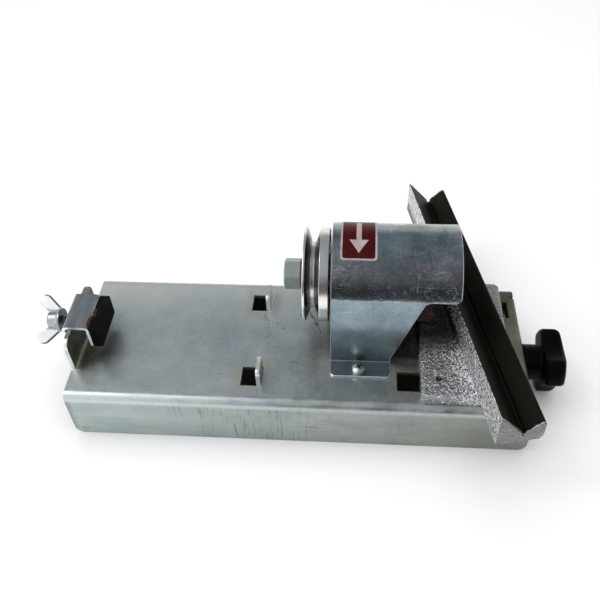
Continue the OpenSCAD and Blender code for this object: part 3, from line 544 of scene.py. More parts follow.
def vee_face():
    """The rail's dark oxidised V faces, streaked along the rail and rubbed bright at the front end."""
    k = Mat("vee_face")
    co = k.scaled((1, 1, 1), rot=(0, 0, -RAIL_A))  # into the rail's own directions
    # along the rail: -Y in that frame
    streak = k.noise(1.0, 4, 0.65, co=k.scaled((900, 35, 900), co=co))
    col = k.ramp(streak, [(0.28, (0.0026, 0.0020, 0.0010)), (0.72, (0.0085, 0.0066, 0.0033))])
    cloud = k.noise(45, 4, 0.6)
    col = k.mix(k.math("MULTIPLY", k.step(cloud, 0.5, 0.75), 0.45), col, (0.016, 0.014, 0.010))
    sep = k.t.nodes.new("ShaderNodeSeparateXYZ")
    k.link(co, sep.inputs[0])
    ends = pt(*(RAIL_BACK + RAIL_D * RAIL_L), 0)
    c, s = math.cos(-RAIL_A), math.sin(-RAIL_A)
    y_end = ends.x * s + ends.y * c
    far = k.math("SUBTRACT", sep.outputs[1], y_end)
    chip = k.math("ADD", far, k.math("MULTIPLY", k.noise(260, 3, 0.7), -0.0028))
    bare = k.step(chip, 0.0002, -0.0006)
    # light marks of the cutter
    marks = k.step(k.voronoi(330), 0.16, 0.08)
    marks = k.math("MULTIPLY", marks, k.step(k.noise(90, 2), 0.60, 0.72))
    col = k.mix(k.math("MULTIPLY", marks, 0.30), col, (0.09, 0.08, 0.07))
    col = k.mix(bare, col, (0.50, 0.48, 0.49))
    k.set("Base Color", col)
    k.b.inputs["Specular IOR Level"].default_value = 0.12
    k.set("Metallic", k.math("MULTIPLY", bare, 0.9))
    k.set("Roughness", k.math("ADD", k.math("MULTIPLY", streak, 0.2), 0.42))
    n = k.bump(streak, 0.18, 0.0001)
    n = k.bump(k.noise(900, 2, 0.6), 0.10, 0.0001, n)
    k.set("Normal", n)
    return k.m


def plain_plastic(name, tint, rough0, grain=900):
    """Moulded plastic: fine spark grain, slightly uneven gloss."""
    k = Mat(name)
    cloud = k.noise(70, 3, 0.6)
    col = k.ramp(cloud, [(0.3, tuple(c * 0.8 for c in tint)), (0.7, tuple(c * 1.25 for c in tint))])
    dust = k.step(k.noise(500, 3, 0.7), 0.66, 0.78)
    col = k.mix(k.math("MULTIPLY", dust, 0.20), col, (0.010, 0.010, 0.010))
    k.set("Base Color", col)
    k.b.inputs["Specular IOR Level"].default_value = 0.06
    k.set("Roughness", k.math("ADD", k.math("MULTIPLY", cloud, 0.14), rough0))
    k.set("Normal", k.bump(k.noise(grain, 3, 0.6), 0.12, 0.0001))
    return k.m


def rubber():
    k = Mat("black_rubber")
    cloud = k.noise(60, 4, 0.6)
    col = k.ramp(cloud, [(0.3, (0.0025, 0.0025, 0.002)), (0.7, (0.0065, 0.006, 0.005))])
    wear = k.step(k.noise(140, 4, 0.7), 0.60, 0.74)
    col = k.mix(k.math("MULTIPLY", wear, 0.35), col, (0.020, 0.018, 0.014))
    k.set("Base Color", col)
    k.b.inputs["Specular IOR Level"].default_value = 0.05
    k.set("Roughness", k.math("ADD", k.math("MULTIPLY", cloud, 0.2), 0.55))
    k.set("Normal", k.bump(k.noise(420, 4, 0.65), 0.35, 0.0002))
    return k.m


def rust():
    k = Mat("rusty_steel")
    a = k.noise(380, 5, 0.7)
    col = k.ramp(a, [(0.28, (0.014, 0.006, 0.003)), (0.5, (0.040, 0.014, 0.005)), (0.72, (0.080, 0.030, 0.008))])
    k.set("Base Color", col)
    k.set("Metallic", 0.15)
    k.set("Roughness", k.math("ADD", k.math("MULTIPLY", a, 0.2), 0.65))
    k.set("Normal", k.bump(a, 0.6, 0.0003))
    return k.m


def grit(name="abrasive"):
    k = Mat(name)
    g = k.voronoi(1500, out="Color")
    g2 = k.noise(900, 3, 0.7)
    sep = k.t.nodes.new("ShaderNodeSeparateColor")
    k.link(g, sep.inputs[0])
    col = k.ramp(sep.outputs[0], [(0.0, (0.012, 0.005, 0.004)), (0.6, (0.030, 0.013, 0.010)), (0.95, (0.075, 0.040, 0.032))])
    col = k.mix(k.math("MULTIPLY", k.step(g2, 0.55, 0.4), 0.6), col, (0.008, 0.004, 0.003))
    k.set("Base Color", col)
    k.b.inputs["Specular IOR Level"].default_value = 0.2
    k.set("Roughness", k.math("ADD", k.math("MULTIPLY", g2, 0.15), 0.78))
    k.set("Normal", k.bump(k.math("ADD", sep.outputs[0], g2), 0.7, 0.0004))
    return k.m


def label_print():
    """Dark red label with a pale rim and a plain turning arrow."""
    k = Mat("label_red")
    x, y, z = k.xyz()
    c = pt((163.6 + 184.4) / 2, HOOD_Y, HOOD_Z)
    mid, half = math.radians(79), math.radians(41)
    ang = k.math("ARCTAN2", k.math("SUBTRACT", z, c.z), k.math("SUBTRACT", y, c.y))
    v = k.math("MULTIPLY", k.math("SUBTRACT", ang, mid), 0.0323)  # along the round
    u = k.math("SUBTRACT", x, c.x)
    # rim: rounded rectangle seen from inside
    hx, hy, r = 0.0104 - 0.0011, 0.0323 * half - 0.0011, 0.0014
    qx = k.math("MAXIMUM", k.math("SUBTRACT", k.math("ABSOLUTE", u), hx - r), 0.0)
    qy = k.math("MAXIMUM", k.math("SUBTRACT", k.math("ABSOLUTE", v), hy - r), 0.0)
    d = k.math("SUBTRACT", k.math("SQRT", k.math("ADD", k.math("MULTIPLY", qx, qx), k.math("MULTIPLY", qy, qy))), r)
    rim = k.step(d, -0.00008, 0.00008)
    # arrow along the round, one shaft and one head
    au = k.math("ABSOLUTE", u)
    shaft = k.math("MULTIPLY", k.step(au, 0.00155, 0.00140),
                   k.math("MULTIPLY", k.step(v, -0.0102, -0.0100), k.step(v, 0.0100, 0.0098)))
    head = k.math("MULTIPLY", k.step(k.math("SUBTRACT", k.math("MULTIPLY", k.math("SUBTRACT", 0.0186, v), 0.62), au), -0.00008, 0.00008),
                  k.step(v, 0.0095, 0.0097))
    pale = k.math("MAXIMUM", rim, k.math("MAXIMUM", shaft, head))
    cloud = k.noise(160, 4, 0.6)
    red = k.ramp(cloud, [(0.3, (0.032, 0.0007, 0.0016)), (0.7, (0.054, 0.0012, 0.0026))])
    white = k.ramp(cloud, [(0.3, (0.27, 0.225, 0.22)), (0.7, (0.40, 0.35, 0.34))])
    col = k.mix(pale, red, white)
    wear = k.math("MULTIPLY", k.step(k.noise(420, 4, 0.7), 0.63, 0.74), 0.35)
    col = k.mix(wear, col, (0.36, 0.30, 0.30))
    k.set("Base Color", col)
    k.set("Roughness", k.math("ADD", k.math("MULTIPLY", cloud, 0.18), 0.26))
    k.b.inputs["Specular IOR Level"].default_value = 0.12
    k.set("Normal", k.bump(k.noise(300, 3), 0.05, 0.0001))
    return k.m


def small_metal(name, tint, rough0=0.24, metal=1.0, dirt=0.4):
    """Plated or machined steel of a small fitting."""
    k = Mat(name)
    cloud = k.noise(130, 4, 0.6)
    col = k.ramp(cloud, [(0.3, tuple(c * 0.84 for c in tint)), (0.7, tint)])
    grime = k.step(k.noise(300, 5, 0.7), 0.56, 0.74)
    col = k.mix(k.math("MULTIPLY", grime, dirt), col, tuple(c * 0.45 for c in tint))
    fine = k.noise(1500, 2, 0.6)
    col = k.mix(0.12, col, k.ramp(fine, [(0.3, 0.3), (0.7, 0.7)]), "OVERLAY")
    k.set("Base Color", col)
    k.b.inputs["Metallic"].default_value = metal
    k.set("Roughness", k.math("ADD", k.math("MULTIPLY", cloud, 0.2), rough0))
    n = k.bump(k.noise(600, 3, 0.6), 0.12, 0.0001)
    k.set("Normal", n)
    return k.m


MATS = {
    "zinc_base": zinc_sheet(),
    "zinc_cover": zinc_hood(),
    "label_red": label_print(),
    "zinc_screw": small_metal("zinc_screw", (0.62, 0.62, 0.58)),
    "housing_cast": cast_metal("housing_cast", (0.22, 0.23, 0.24), 0.45, 0.6, (0.07, 0.07, 0.07)),
    "bearing_steel": small_metal("bearing_steel", (0.66, 0.67, 0.69), 0.10, dirt=0.15),
    "ground_steel": small_metal("ground_steel", (0.52, 0.52, 0.53), 0.22),
    "turned_aluminium": turned_metal("turned_aluminium", (0.74, 0.73, 0.72), SPIN_Y, SPIN_Z, 0.13, groove=(20.1, 28.3, 147.5)),
    "zinc_bolt": small_metal("zinc_bolt", (0.36, 0.41, 0.375), 0.28, dirt=0.45),
    "abrasive": grit(),
    "cast_aluminium": cast_metal("cast_aluminium", (0.88, 0.865, 0.88), 0.13, 1.0, (0.13, 0.12, 0.125), rail_soil),
    "bronze": small_metal("bronze", (0.50, 0.33, 0.13), 0.28),
    "black_plastic": plain_plastic("black_plastic", (0.0014, 0.0014, 0.0015), 0.32),
    "black_rubber": rubber(),
    "rusty_steel": rust(),
    "dark_steel": small_metal("dark_steel", (0.09, 0.09, 0.09), 0.35),
    "zinc_wing": small_metal("zinc_wing", (0.44, 0.465, 0.48), 0.22, dirt=0.35),
}
BRACKET = zinc_bright("zinc_bracket", (0.43, 0.455, 0.485), 0.24, 0.45, (13.2, 38.6, 2.3, 6.2))
# painted shade: the hood's inner face near-black, as it is unlit
HOOD_INSIDE_SHADE = small_metal("hood_inside_shade", (0.050, 0.048, 0.045), 0.55, 0.6)
CUT_EDGE = small_metal("cut_edge", (0.93, 0.95, 0.95), 0.34, dirt=0.15)
CUT_DULL = small_metal("cut_dull", (0.36, 0.365, 0.335), 0.42, dirt=0.3)
# painted shade: the keepers, seen only through the windows, near-black
KEEPER_SHADE = small_metal("keeper_shade", (0.022, 0.022, 0.020), 0.55, metal=0.5)
# painted shade: the screws' cross recesses darkened
RECESS_SHADE = small_metal("recess", (0.060, 0.055, 0.040), 0.35, dirt=0.5)
# painted shade: the wings' rims, a dark copy of the wing zinc
WING_EDGE_SHADE = small_metal("zinc_wing_edge_shade", (0.150, 0.180, 0.178), 0.30, dirt=0.3)
# painted shade: the collar and thread in a darker teal zinc
COLLAR_SHADE = small_metal("zinc_collar_shade", (0.185, 0.245, 0.245), 0.24, dirt=0.55)
VEE = vee_face()
# painted highlight: the wings' flat faces, a pale, lit copy of the wing zinc
WING_LIT = small_metal("zinc_wing_lit", (0.84, 0.85, 0.86), 0.30, metal=0.2, dirt=0.08)

# ------------------------------------------------------------------ mesh helpers


def obj_from_bm(name, bm, mats, smooth=True):
    me = bpy.data.meshes.new(name)
    bmesh.ops.recalc_face_normals(bm, faces=bm.faces)
    bm.to_mesh(me)
    bm.free()
    for m in mats:
        me.materials.append(m)
    me.polygons.foreach_set("use_smooth", [smooth] * len(me.polygons))
    o = bpy.data.objects.new(name, me)
    bpy.context.scene.collection.objects.link(o)
    return o


def stand_in(o, node):
    """o shows what the node is, and moves as it does."""
    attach(o, BODY[node])
    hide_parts(node)
    return o


def weighted(o):
    m = o.modifiers.new("normals", "WEIGHTED_NORMAL")
    m.mode = "FACE_AREA"
    m.weight = 60
    m.keep_sharp = True


def node_bm(node, flat=0.15):
    """A node's mesh as one clean surface, its flat faces joined up."""
    bm = bmesh.new()
    bm.from_mesh(NODES[node].data)
    bmesh.ops.remove_doubles(bm, verts=bm.verts, dist=3e-6)
    bmesh.ops.dissolve_degenerate(bm, dist=1e-7, edges=bm.edges)
    bmesh.ops.dissolve_limit(bm, angle_limit=math.radians(flat), verts=bm.verts, edges=bm.edges)
    return bm


def sharp_edges(bm, deg=28.0, where=None):
    got = []
    for e in bm.edges:
        if len(e.link_faces) == 2 and e.calc_face_angle(0.0) > math.radians(deg):
            if where is None or where((e.verts[0].co + e.verts[1].co) / 2, e):
                got.append(e)
    return got


def bevel(bm, edges, width, seg):
    if edges:
        bmesh.ops.bevel(bm, geom=edges, offset=width * MM, offset_type="OFFSET", segments=seg,
                        profile=0.5, affect="EDGES", clamp_overlap=True, miter_outer="SHARP", miter_inner="SHARP")


def exact_normals(o, bends):
    """Flat faces keep their own normal and bends along X that of their cylinder; only broken edges are blended."""
    me = o.data
    custom = []
    for f in me.polygons:
        pts = [me.vertices[v].co for v in f.vertices]
        rows = None
        for cy, cz, r, sign in bends:
            c = pt(0, cy, cz)
            if abs(f.normal.x) < 0.2 and all(abs(math.hypot(q.y - c.y, q.z - c.z) - r * MM) < 4e-5 for q in pts):
                rows = [Vector((0, q.y - c.y, q.z - c.z)).normalized() * sign for q in pts]
                break
        if rows is None:
            rows = [f.normal if f.area > 4e-6 else Vector((0, 0, 0))] * len(pts)
        custom += [q[:] for q in rows]
    me.normals_split_custom_set(custom)


def refine(node, width, seg=2, mat=None, cut=None, bends=None):
    """The node's own shape with its edges broken. cut: a test that gives each face its material: bare cut edges, dull
    cut edges, or a screw recess in painted shade.
    """
    bm = node_bm(node)
    if width:
        bevel(bm, sharp_edges(bm), width, seg)
    bm.normal_update()
    o = obj_from_bm(node + "_look", bm, [mat or MATS[SLOT[node]]] + ([CUT_EDGE, CUT_DULL, RECESS_SHADE] if cut else []))
    if cut:
        o.data.polygons.foreach_set("material_index", [int(cut(f.center / MM + Vector((OX, OY, 0)), f.normal)) for f in o.data.polygons])
    if bends:
        exact_normals(o, bends)
    else:
        weighted(o)
    return stand_in(o, node)


def fillet(pts, radii, seg=5):
    """Outline with each corner replaced by an arc of its radius."""
    out, n = [], len(pts)
    for i, p in enumerate(pts):
        r = radii[i] if hasattr(radii, "__len__") else radii
        p = Vector(p)
        a, b = Vector(pts[i - 1]), Vector(pts[(i + 1) % n])
        if r <= 0:
            out.append(p)
            continue
        u, v = (a - p).normalized(), (b - p).normalized()
        half = u.angle(v) / 2
        t = min(r / math.tan(half), (a - p).length * 0.48, (b - p).length * 0.48)
        r = t * math.tan(half)
        c = p + (u + v).normalized() * (r / math.sin(half))
        s, e = p + u * t - c, p + v * t - c
        for k in range(seg + 1):
            f = k / seg
            w = s.slerp(e, f) if s.length > 1e-9 else s
            out.append(c + w.normalized() * r)
    return out


def lathe(name, prof, cy, cz, mats, seg=160):
    """Closed outline of (radius, x) in drawing mm, turned about an axis along X."""
    bm = bmesh.new()
    rings = []
    for i in range(seg):
        a = 2 * math.pi * i / seg
        rings.append([bm.verts.new(pt(p[1], cy + p[0] * math.cos(a), cz + p[0] * math.sin(a))) for p in prof])
    n = len(prof)
    for i in range(seg):
        r0, r1 = rings[i], rings[(i + 1) % seg]
        for j in range(n):
            bm.faces.new((r0[j], r0[(j + 1) % n], r1[(j + 1) % n], r1[j]))
    return obj_from_bm(name, bm, mats)


def solid_of(o):
    """The object's evaluated mesh, as a new mesh."""
    dg = bpy.context.evaluated_depsgraph_get()
    return bpy.data.meshes.new_from_object(o.evaluated_get(dg))


def voxel(bm, size, turn=0.0):
    """One closed skin round a mesh, made on a grid that is turned about Z."""
    me = bpy.data.meshes.new("tmp")
    rot = Matrix.Rotation(turn, 4, "Z")
    bmesh.ops.transform(bm, matrix=rot.inverted(), verts=bm.verts)
    bmesh.ops.triangulate(bm, faces=bm.faces)
    bm.to_mesh(me)
    bm.free()
    o = bpy.data.objects.new("tmp", me)
    bpy.context.scene.collection.objects.link(o)
    m = o.modifiers.new("v", "REMESH")
    m.mode = "VOXEL"
    m.voxel_size = size * MM
    m.adaptivity = 0.0
    bpy.context.view_layer.update()
    new = solid_of(o)
    bpy.data.objects.remove(o)
    bpy.data.meshes.remove(me)
    new.transform(rot)
    return new


def coords(me):
    co = np.zeros(len(me.vertices) * 3, np.float32)
    me.vertices.foreach_get("co", co)
    return co.reshape(-1, 3).astype(float)


def edge_pairs(me):
    e = np.zeros(len(me.edges) * 2, np.int32)
    me.edges.foreach_get("vertices", e)
    return e.reshape(-1, 2)


def relax(co, edges, weight, times, lam=0.5):
    """Moves points towards the middle of their neighbours, by weight."""
    n = len(co)
    deg = np.bincount(edges.ravel(), minlength=n).astype(float)[:, None]
    for _ in range(times):
        acc = np.zeros_like(co)
        np.add.at(acc, edges[:, 0], co[edges[:, 1]])
        np.add.at(acc, edges[:, 1], co[edges[:, 0]])
        co = co + (acc / np.maximum(deg, 1) - co) * (lam * weight)[:, None]
    return co


def lattice_noise(p, seed):
    """Smooth value noise in -1..1 at points p, from a seeded lattice."""
    rng = np.random.default_rng(seed)
    table = rng.uniform(-1, 1, 4096)
    i = np.floor(p).astype(np.int64)
    f = p - i
    f = f * f * (3 - 2 * f)
    out = np.zeros(len(p))
    for dx in (0, 1):
        for dy in (0, 1):
            for dz in (0, 1):
                h = ((i[:, 0] + dx) * 73856093) ^ ((i[:, 1] + dy) * 19349663) ^ ((i[:, 2] + dz) * 83492791)
                w = (f[:, 0] if dx else 1 - f[:, 0]) * (f[:, 1] if dy else 1 - f[:, 1]) * (f[:, 2] if dz else 1 - f[:, 2])
                out += w * table[h & 4095]
    return out


# ------------------------------------------------------------------ sheet metal



def base_cut(c, n):
    """Sheared edges of the base that were left bright: ear, stop tabs and the left ends of the flanges."""
    if c.z > 38.6 and c.x < 2.6:
        return (2 if c.y > 46 else 1) if abs(n.x) < 0.6 else 0
    if c.z > 39.5 and 110 < c.x < 120:
        return abs(n.x) < 0.6
    return c.x < 0.4 and n.x < -0.5 and c.z < 37


refine("base_plate", 0.35, 2, cut=base_cut,
       bends=[(5, 32, 5, 1), (96, 32, 5, 1), (5, 32, 2.5, -1), (96, 32, 2.5, -1)])


def hood_profile():
    """Outer line of the bent sheet, flange front to rear foot: s, y, z and the outward normal, in mm."""
    arc = np.radians(np.linspace(162, -3, 1200))
    line = np.vstack([[[22.0, 38.2], [34.08, 38.2]],
                      np.column_stack([HOOD_Y + HOOD_R * np.cos(arc), HOOD_Z + HOOD_R * np.sin(arc)]),
                      [[102.2, 34.0], [102.2, 12.0]]])
    d = np.concatenate([[0], np.cumsum(np.hypot(*np.diff(line, axis=0).T))])
    s = np.arange(0, d[-1], 0.02)
    raw = np.column_stack([np.interp(s, d, line[:, 0]), np.interp(s, d, line[:, 1])])
    out = raw.copy()
    for at, sig in ((d[1], 0.80), (d[2], 0.22), (d[-3], 1.0), (d[-2], 1.0)):  # rounded bends
        m = int(5 * sig / 0.02)
        ker = np.exp(-0.5 * (np.arange(-m, m + 1) * 0.02 / sig) ** 2)
        ker /= ker.sum()
        i = np.nonzero(np.abs(s - at) < 6 * sig)[0]
        for j in i:
            q = np.clip(np.arange(j - m, j + m + 1), 0, len(s) - 1)
            out[j] = ker @ raw[q]
    t = np.gradient(out, axis=0)
    t /= np.linalg.norm(t, axis=1)[:, None]
    return s, out, np.column_stack([-t[:, 1], t[:, 0]]), d


def build_hood():
    """The hood: one bent sheet with thickness, its cut edges rounded over."""
    S, P, N, d = hood_profile()
    thick, b = 1.2, 0.42
    top = int(np.argmax(P[:, 1]))
    front = lambda z: float(np.interp(z, P[700:top, 1], S[700:top]))
    rear = lambda z: float(np.interp(-z, -P[top:, 1], S[top:]))
    end = float(S[-1])
    plan = [(158.7, 0), (195, 0), (195, front(39.2)), (213, front(86.69)), (232.2, front(86.69)), (232.2, rear(82.4)),
            (213, rear(82.4)), (200, rear(40)), (200, end), (158.7, end)]
    radii = [3, 3, 2, 5, 4, 4, 5, 2, 4, 4]
    outline = fillet(plan, radii, 9)
    n = len(outline)
    inset = []
    for i, p in enumerate(outline):
        t = (outline[(i + 1) % n] - outline[i - 1]).normalized()
        inset.append(p + Vector((-t.y, t.x)) * b)
    bm = bmesh.new()
    bm.faces.new([bm.verts.new((p.x, p.y, 0)) for p in inset])
    cuts = [d[1] + v for v in np.linspace(-1.9, 1.9, 20)] + [d[2] + v for v in np.linspace(-0.8, 0.8, 15)]
    cuts += list(np.arange(2.5, d[1] - 2.5, 3.0)) + list(np.arange(d[1] + 3, d[2] - 1.5, 3.0))
    cuts += list(np.arange(d[2] + 1.5, d[-3] - 3.0, 1.1)) + list(d[-3] + np.linspace(-3, 3, 13)) + list(d[-2] + np.linspace(-3, 3, 9))
    cuts += list(np.arange(d[-3] + 5, d[-2] - 5, 4.0)) + list(np.arange(d[-2] + 5, end - 1, 4.0))
    for c in cuts:
        bmesh.ops.bisect_plane(bm, geom=bm.verts[:] + bm.edges[:] + bm.faces[:], dist=1e-5, plane_co=(0, c, 0), plane_no=(0, 1, 0))
    for c in np.arange(163.5, 231, 5.5):
        bmesh.ops.bisect_plane(bm, geom=bm.verts[:] + bm.edges[:] + bm.faces[:], dist=1e-5, plane_co=(c, 0, 0), plane_no=(1, 0, 0))
    bmesh.ops.recalc_face_normals(bm, faces=bm.faces)
    if sum(f.normal.z for f in bm.faces) < 0:
        bmesh.ops.reverse_faces(bm, faces=bm.faces)
    bm.verts.index_update()
    flat = [(v.co.x, v.co.y) for v in bm.verts]
    cells = [[v.index for v in f.verts] for f in bm.faces]
    follow = {}
    for f in bm.faces:
        for lp in f.loops:
            if lp.edge.is_boundary:
                follow[lp.vert.index] = lp.link_loop_next.vert.index
    bm.free()
    rim = [next(iter(follow))]
    while follow[rim[-1]] != rim[0]:
        rim.append(follow[rim[-1]])
    assert len(rim) == len(follow)

    def at(x, s, depth):
        y, z = np.interp(s, S, P[:, 0]), np.interp(s, S, P[:, 1])
        ny, nz = np.interp(s, S, N[:, 0]), np.interp(s, S, N[:, 1])
        k = math.hypot(ny, nz)
        return pt(x, y - depth * ny / k, z - depth * nz / k), Vector((0, ny / k, nz / k))

    verts, faces, kind, normals = [], [], [], []
    for depth, sign in ((0.0, 1), (thick, -1)):
        base = len(verts)
        for x, s in flat:
            p, nn = at(x, s, depth)
            verts.append(p)
            normals.append(nn * sign)
        for c in cells:
            faces.append([base + i for i in (c if sign > 0 else c[::-1])])
            kind.append(0 if sign > 0 else 1)
    m, loops = len(rim), []
    sides = []
    for i, v in enumerate(rim):
        a, c = Vector(flat[rim[i - 1]]), Vector(flat[rim[(i + 1) % m]])
        t = (c - a).normalized()
        sides.append(Vector((t.y, -t.x)))
    for out_by, depth in ((0.0, 0.0), (0.5, 0.134), (0.866, 0.5), (1.0, 1.0), (1.0, -1.0), (0.866, -0.5), (0.5, -0.134), (0.0, -0.0)):
        first = not loops
        last = len(loops) == 7
        if first or last:
            loops.append([v + (len(flat) if last else 0) for v in rim])
            continue
        dep = depth * b if depth > 0 else thick + depth * b
        ring = []
        for v, w in zip(rim, sides):
            p, nn = at(flat[v][0] + w.x * b * out_by, min(max(flat[v][1] + w.y * b * out_by, 0.0), end), dep)
            ring.append(len(verts))
            verts.append(p)
            normals.append(None)
        loops.append(ring)
    for j, (a, c) in enumerate(zip(loops, loops[1:])):
        for i in range(m):
            k = (i + 1) % m
            faces.append([a[k], a[i], c[i], c[k]])
            kind.append(2)
    me = bpy.data.meshes.new("spindle_hood")
    me.from_pydata([v[:] for v in verts], [], faces)
    for mat in (MATS["zinc_cover"], HOOD_INSIDE_SHADE, CUT_EDGE, CUT_DULL):
        me.materials.append(mat)
    left = pt(159.3, 0, 0).x
    me.polygons.foreach_set("material_index", [3 if kd == 2 and f.center.x < left else kd for f, kd in zip(me.polygons, kind)])
    me.polygons.foreach_set("use_smooth", [True] * len(me.polygons))
    me.update()
    custom = []
    for f, kd in zip(me.polygons, kind):
        for v in f.vertices:
            custom.append(normals[v][:] if kd < 2 and normals[v] is not None else (0.0, 0.0, 0.0))
    me.normals_split_custom_set(custom)
    o = bpy.data.objects.new("spindle_hood", me)
    bpy.context.scene.collection.objects.link(o)
    return stand_in(o, "spindle_cover")


build_hood()
refine("clamp_bracket", 0.32, 2, mat=BRACKET, cut=lambda c, n: abs(n.y) > 0.5)
refine("clamp_pad", 0.55, 3)
refine("pad_disc", 0.3, 2)

# ------------------------------------------------------------------ small fittings

def screw_cut(c, n):
    """The cross recess of the hood's screws, given the dark material of painted shade."""
    if c.z > 39 and math.hypot(c.x - 176, c.y - 26.6) < 2.15 and c.z > 40.5:
        return 3 if abs(n.z) < 0.6 or c.z < 41.6 else 0
    for x in (168, 190):
        if math.hypot(c.x - x, c.z - 22) < 2.15 and c.y > 104.5:
            return 3 if abs(n.y) < 0.6 or c.y < 105.6 else 0
    return 0


for n, w in (("cover_screws", 0.22), ("cover_spring_washers", 0.14), ("housing_bolts", 0.3), ("housing_washers", 0.2),
             ("pulley_bolt", 0.28), ("pulley_washer", 0.2), ("wheel_nut", 0.3), ("wheel_washer", 0.2), ("wheel_flange", 0.3),
             ("spindle_spacer", 0.2), ("feed_bush", 0.25), ("feed_collar", 0.3), ("carriage_keepers", 0.35),
             ("keeper_screws", 0.22), ("pad_rivets", 0.25), ("spindle_shaft", 0.25), ("feed_nut", 0.25),
             ("spindle_housing", 0.7)):
    refine(n, w, mat=KEEPER_SHADE if n == "carriage_keepers" else None, cut=screw_cut if n == "cover_screws" else None)
for n in ("bearing_outer_rings", "bearing_inner_rings", "bearing_balls", "housing_circlips", "pulley_key", "knob_insert",
          "collar_screw", "wing_bolt_clip"):
    refine(n, 0.0)

# ------------------------------------------------------------------ label


def build_label():
    """A thin sticker bent round the hood, its corners rounded."""
    x0, x1, a0, a1 = 163.6, 184.4, 38.0, 120.0
    hx, hy = (x1 - x0) / 2, HOOD_R * math.radians(a1 - a0) / 2
    cx, ca = (x0 + x1) / 2, math.radians((a0 + a1) / 2)
    bm = bmesh.new()
    edge = 0.07
    outline = fillet([(-hx + edge, -hy + edge), (hx - edge, -hy + edge), (hx - edge, hy - edge), (-hx + edge, hy - edge)], 1.45, 6)
    bm.faces.new([bm.verts.new((p.x, p.y, 0)) for p in outline])
    for c in np.arange(-hy + 0.9, hy - 0.3, 0.7):
        bmesh.ops.bisect_plane(bm, geom=bm.verts[:] + bm.edges[:] + bm.faces[:], dist=1e-5, plane_co=(0, c, 0), plane_no=(0, 1, 0))
    bmesh.ops.recalc_face_normals(bm, faces=bm.faces)
    if sum(f.normal.z for f in bm.faces) < 0:
        bmesh.ops.reverse_faces(bm, faces=bm.faces)
    bm.verts.index_update()
    flat = [v.co.xy.copy() for v in bm.verts]
    cells = [[v.index for v in f.verts] for f in bm.faces]
    follow = {lp.vert.index: lp.link_loop_next.vert.index for f in bm.faces for lp in f.loops if lp.edge.is_boundary}
    bm.free()
    rim = [next(iter(follow))]
    while follow[rim[-1]] != rim[0]:
        rim.append(follow[rim[-1]])
    out = bmesh.new()

    def vert(p, lift):
        r, a = HOOD_R + lift, ca + p.y / HOOD_R
        return out.verts.new(pt(cx + p.x, HOOD_Y + r * math.cos(a), HOOD_Z + r * math.sin(a)))

    n = len(rim)
    wide = []
    for i, v in enumerate(rim):
        t = (flat[rim[(i + 1) % n]] - flat[rim[i - 1]]).normalized()
        wide.append(flat[v] + Vector((t.y, -t.x)) * edge)
    upper = [vert(p, 0.295) for p in flat]
    lower = [vert(p, 0.012) for p in flat]
    loops = [[upper[v] for v in rim], [vert(p, 0.22) for p in wide], [vert(p, 0.012) for p in wide], [lower[v] for v in rim]]
    for c in cells:
        out.faces.new([upper[i] for i in c])
        out.faces.new([lower[i] for i in reversed(c)])
    for p, q in zip(loops, loops[1:]):
        for i in range(n):
            j = (i + 1) % n
            out.faces.new((p[j], p[i], q[i], q[j]))
    o = obj_from_bm("label_sticker", out, [MATS["label_red"]])
    weighted(o)
    return stand_in(o, "label_plate")


build_label()

# ------------------------------------------------------------------ pulley and wheel


def build_pulley():
    r, g = 28.5, 8.4
    prof = fillet([(8.52, 141.9), (11.6, 141.9), (12.0, 142.4), (25.2, 142.4), (25.6, 141.9), (r, 141.9), (r, 143.3), (r - g, 146.4),
                   (r - g, 148.6), (r, 151.7), (r, 157.2), (24.6, 157.2), (24.2, 156.6), (13.2, 156.6), (12.8, 157.2), (8.52, 157.2)],
                  [0.3, 0.2, 0.25, 0.25, 0.2, 0.45, 0.35, 0.6, 0.6, 0.35, 0.45, 0.2, 0.25, 0.25, 0.2, 0.3], 4)
    o = lathe("pulley_turned", prof, SPIN_Y, SPIN_Z, [MATS["turned_aluminium"]], 192)
    weighted(o)
    return stand_in(o, "v_pulley")


def build_wheel():
    w = 27.0
    prof = fillet([(7.05, 199), (w - 2, 199), (w, 201), (w, 217), (w - 7, 217), (w - 8, 207), (7.05, 207)],
                  [0.3, 0.8, 0.8, 0.5, 0.6, 1.4, 0.3], 4)
    dense = []
    for i, p in enumerate(prof):
        q = prof[(i + 1) % len(prof)]
        m = max(1, int((q - p).length / 0.7))
        dense += [p.lerp(q, t / m) for t in range(m)]
    o = lathe("cup_wheel_grit", dense, SPIN_Y, SPIN_Z, [MATS["abrasive"]], 180)
    co = coords(o.data)
    me = o.data
    nor = np.zeros(len(me.vertices) * 3, np.float32)
    me.vertices.foreach_get("normal", nor)
    d = lattice_noise(co / (1.1 * MM), 11) * 0.06 + lattice_noise(co / (0.7 * MM), 12) * 0.04 - 0.08
    co += nor.reshape(-1, 3) * (d * MM)[:, None]
    me.vertices.foreach_set("co", co.astype(np.float32).ravel())
    me.update()
    return stand_in(o, "cup_wheel")


build_pulley()
build_wheel()

# ------------------------------------------------------------------ threads


